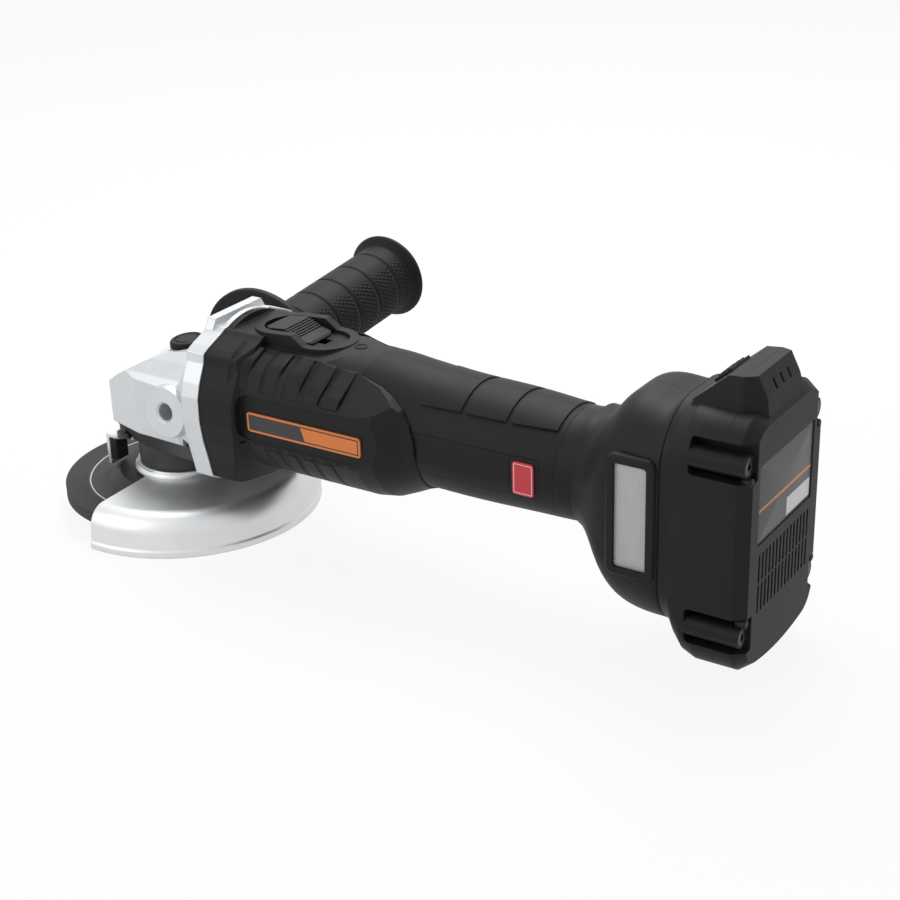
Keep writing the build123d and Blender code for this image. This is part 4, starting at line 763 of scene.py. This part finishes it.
def rounded_block(name, centre, half, corner, edge, axes, finish, segments=12):
    """A plate with rounded corners and a rounded upper edge, rising along the last of its axes.

    Its half sizes are given in the order of its axes: across, along and upward.
    The outline is a rectangle pulled in by the corner radius and swept back out round a circle.
    Rows of the grid are that outline at the foot, at the start of the rounded edge and round it,
    each pulled in and lifted by the edge's quarter circle, closed by a pole below and above.
    """
    across, along, upward = (np.array(a, float) for a in axes)
    turn = np.linspace(0, 2 * pi, 4 * segments, endpoint=False) + pi / (4 * segments)
    quarter = np.stack([np.sign(np.cos(turn)), np.sign(np.sin(turn))], -1)
    core = quarter * (np.array(half[:2]) - corner)
    circle = np.stack([np.cos(turn), np.sin(turn)], -1)
    bend = np.linspace(0, pi / 2, 5)
    pulled = np.concatenate([[0], edge * (1 - np.cos(bend))])
    lifted = np.concatenate([[-half[2]], half[2] - edge + edge * np.sin(bend)])
    flat = core[None] + circle[None] * (corner - pulled)[:, None, None]
    grid = (np.array(centre, float) + flat[..., :1] * across + flat[..., 1:] * along
            + lifted[:, None, None] * upward)
    poles = [np.repeat((np.array(centre, float) + h * upward)[None, None], len(turn), 1)
             for h in (-half[2], half[2])]
    return mesh_from_grid(name, np.concatenate([poles[0], grid, poles[1]]), finish)


screen = fine_screen()
screen_proud, screen_half, screen_corner, screen_edge = 0.1 * mm, 0.4 * mm, 1.48 * mm, 0.1 * mm
for side in ("left", "right"):
    low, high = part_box(f"filter_mesh_{side}")
    outward = 1 if high.y > 0 else -1
    face = max(abs(low.y), abs(high.y)) + screen_proud
    half = ((high.x - low.x) / 2, (high.z - low.z) / 2, screen_half)
    centre = ((low.x + high.x) / 2, outward * (face - screen_half), (low.z + high.z) / 2)
    cloth = rounded_block(f"filter_screen_{side}", centre, half, screen_corner, screen_edge,
                          ((1, 0, 0), (0, 0, 1), (0, outward, 0)), screen)
    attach(cloth, "housing")
    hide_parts(f"filter_mesh_{side}")
dress(plastic, "filter_frame_left", "filter_frame_right")


# ---- Battery ---------------------------------------------------------------------------------
# A slide-on pack in two black halves screwed together from the rear, with a release button in
# its tower. Its rear label is bare film with one orange stripe and one blank white box, and a
# small round lug stands at each of its four rear corners.

def cell_wrap():
    """Shrink wrap on the cells."""
    finish = Finish("cell_wrap", 0.3, specular=0.5, coat=0.3)
    broad = finish.grain(8 * mm)
    finish.colour(finish.blend(broad, (0.03, 0.12, 0.30), (0.04, 0.16, 0.38)))
    finish.feed(finish.shader.inputs["Roughness"], 0.25 + 0.15 * broad)
    finish.relief(broad, 0.05 * mm, strength=0.3)
    return finish


def label_film(side, foot):
    """Dark satin film: an orange stripe across it and a blank white box in its lower corner."""
    stripe_low, stripe_high = foot + 13 * mm, foot + 14.1 * mm
    box_low, box_high = foot + 1 * mm, foot + 8.6 * mm
    box_start, box_end = side - 23 * mm, side - 1 * mm
    soft = 0.08 * mm
    finish = Finish("label_film", 0.34, specular=0.4)
    y = finish.along("Y")
    z = finish.along("Z")
    ink = finish.grain(0.5 * mm)
    stripe = z.band(stripe_low, stripe_high, soft)
    box = y.band(box_start, box_end, soft) * z.band(box_low, box_high, soft)
    film = finish.blend(ink, (0.014, 0.014, 0.015), (0.021, 0.021, 0.022))
    striped = finish.blend(stripe, film, (0.66, 0.19, 0.03))
    finish.colour(finish.blend(box, striped, (0.66, 0.66, 0.65)))
    finish.feed(finish.shader.inputs["Roughness"], 0.3 + 0.1 * ink)
    finish.relief(ink, 0.01 * mm, strength=0.3)
    return finish


dress(plastic, "battery_base", "battery_cover", "cell_holder")
dress(blackened, "battery_screws")
dress(steel, "button_spring")
dress(cell_wrap(), "battery_cells")
dress(smooth_plastic, "release_button")

battery_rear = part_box("battery_cover")[1].x
facing_rear = ((0, 1, 0), (0, 0, 1), (1, 0, 0))
label_half = (25 * mm, 16.2 * mm, 0.15 * mm)
label_centre = (battery_rear - 0.5 * mm, 0, 71.2 * mm)
label_corner, label_edge = 1.5 * mm, 0.1 * mm
film = label_film(label_half[0], label_centre[2] - label_half[1])
label = rounded_block("battery_label", label_centre, label_half, label_corner, label_edge,
                      facing_rear, film)
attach(label, "battery")

tab_half = (1.9 * mm, 1.9 * mm, 2 * mm)
tab_corner, tab_edge = 1.88 * mm, 0.7 * mm
for side, y in (("near", -31.8 * mm), ("far", 31.8 * mm)):
    for level, z in (("top", 83.5 * mm), ("bottom", 24 * mm)):
        tab = rounded_block(f"corner_tab_{side}_{level}", (battery_rear - 2.2 * mm, y, z),
                            tab_half, tab_corner, tab_edge, facing_rear, smooth_plastic)
        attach(tab, "battery")


# ---- Stand, lamps and camera -----------------------------------------------------------------
# A pale floor under a plain pale room, lit by one wide soft lamp above and a weaker one in front.

def seen_directly(tree):
    """Return 1 for rays from the camera, from reflections and through glass, and 0 for the rest."""
    path = tree.nodes.new("ShaderNodeLightPath")
    camera, glossy, through = (Amount(tree, path.outputs[f"Is {kind} Ray"])
                               for kind in ("Camera", "Glossy", "Transmission"))
    return camera.larger(glossy).larger(through)


def mix_into(tree, share, lighting, seen, end):
    """Mix the shader that lights the tool with the one that is seen, and link them to the end."""
    mix = tree.nodes.new("ShaderNodeMixShader")
    tree.links.new(share.socket, mix.inputs[0])
    tree.links.new(lighting.outputs[0], mix.inputs[1])
    tree.links.new(seen.outputs[0], mix.inputs[2])
    tree.links.new(mix.outputs[0], end.inputs[0])


def pale_room(fill):
    """Light the scene evenly, and show plain white behind it."""
    world = bpy.data.worlds.new("room")
    bpy.context.scene.world = world
    world.use_nodes = True
    tree = world.node_tree
    tree.nodes.clear()
    walls = tree.nodes.new("ShaderNodeBackground")
    behind = tree.nodes.new("ShaderNodeBackground")
    for surface, strength in ((walls, fill), (behind, 1)):
        surface.inputs["Color"].default_value = (1, 1, 1, 1)
        surface.inputs["Strength"].default_value = strength
    mix_into(tree, seen_directly(tree), walls, behind, tree.nodes.new("ShaderNodeOutputWorld"))


def pale_floor(height, reach, glow):
    """A level square under the tool that looks white and still takes a soft shadow."""
    side = np.array([[-1, -1], [1, -1], [1, 1], [-1, 1]]) * reach
    mesh = bpy.data.meshes.new("floor")
    mesh.from_pydata(np.column_stack([side, np.full(4, height)]), [], [(0, 1, 2, 3)])
    floor = bpy.data.objects.new("floor", mesh)
    bpy.context.collection.objects.link(floor)
    material = bpy.data.materials.new("pale_floor")
    mesh.materials.append(material)
    material.use_nodes = True
    tree = material.node_tree
    tree.nodes.clear()
    matt = tree.nodes.new("ShaderNodeBsdfDiffuse")
    matt.inputs["Color"].default_value = (0.85, 0.85, 0.85, 1)
    white = tree.nodes.new("ShaderNodeEmission")
    end = tree.nodes.new("ShaderNodeOutputMaterial")
    mix_into(tree, seen_directly(tree) * glow, matt, white, end)


def soft_lamp(name, place, target, size, power):
    """A square lamp that faces its target."""
    lamp = bpy.data.lights.new(name, "AREA")
    lamp.size = size
    lamp.energy = power
    holder = bpy.data.objects.new(name, lamp)
    holder.location = place
    holder.rotation_euler = (Vector(target) - Vector(place)).to_track_quat("-Z", "Y").to_euler()
    bpy.context.collection.objects.link(holder)


def set_camera(place, yaw, pitch, roll, lens):
    """Place the camera: yaw turns it left from +Y, pitch tips it down, roll turns its picture.

    Angles are in radians, and the lens and the width behind it in millimetres.
    """
    level = Vector((-sin(yaw), cos(yaw), 0))
    right = Vector((cos(yaw), sin(yaw), 0))
    ahead = cos(pitch) * level - sin(pitch) * Vector((0, 0, 1))
    above = sin(pitch) * level + cos(pitch) * Vector((0, 0, 1))
    rolled_right = cos(roll) * right + sin(roll) * above
    rolled_above = cos(roll) * above - sin(roll) * right
    data = bpy.data.cameras.new("camera")
    data.lens = lens
    data.sensor_width = 36
    camera = bpy.data.objects.new("camera", data)
    turn = Matrix((rolled_right, rolled_above, -ahead)).transposed().to_4x4()
    camera.matrix_world = Matrix.Translation(place) @ turn
    bpy.context.collection.objects.link(camera)
    bpy.context.scene.camera = camera


middle = (cad_box[0] + cad_box[1]) / 2
pale_room(fill=0.42)
pale_floor(cad_box[0].z - 0.2 * mm, reach=8.0, glow=0.9)
soft_lamp("overhead", (middle.x - 0.2, middle.y + 0.45, 1.0), middle, size=0.75, power=11)
soft_lamp("front", (middle.x - 0.5, middle.y - 0.9, 0.55), middle, size=0.7, power=3)
set_camera(Vector((0.54883, -0.59275, 0.37136)), yaw=0.587445, pitch=0.423406, roll=-0.0312182,
           lens=72.30)
bpy.context.scene.view_settings.view_transform = "Standard"
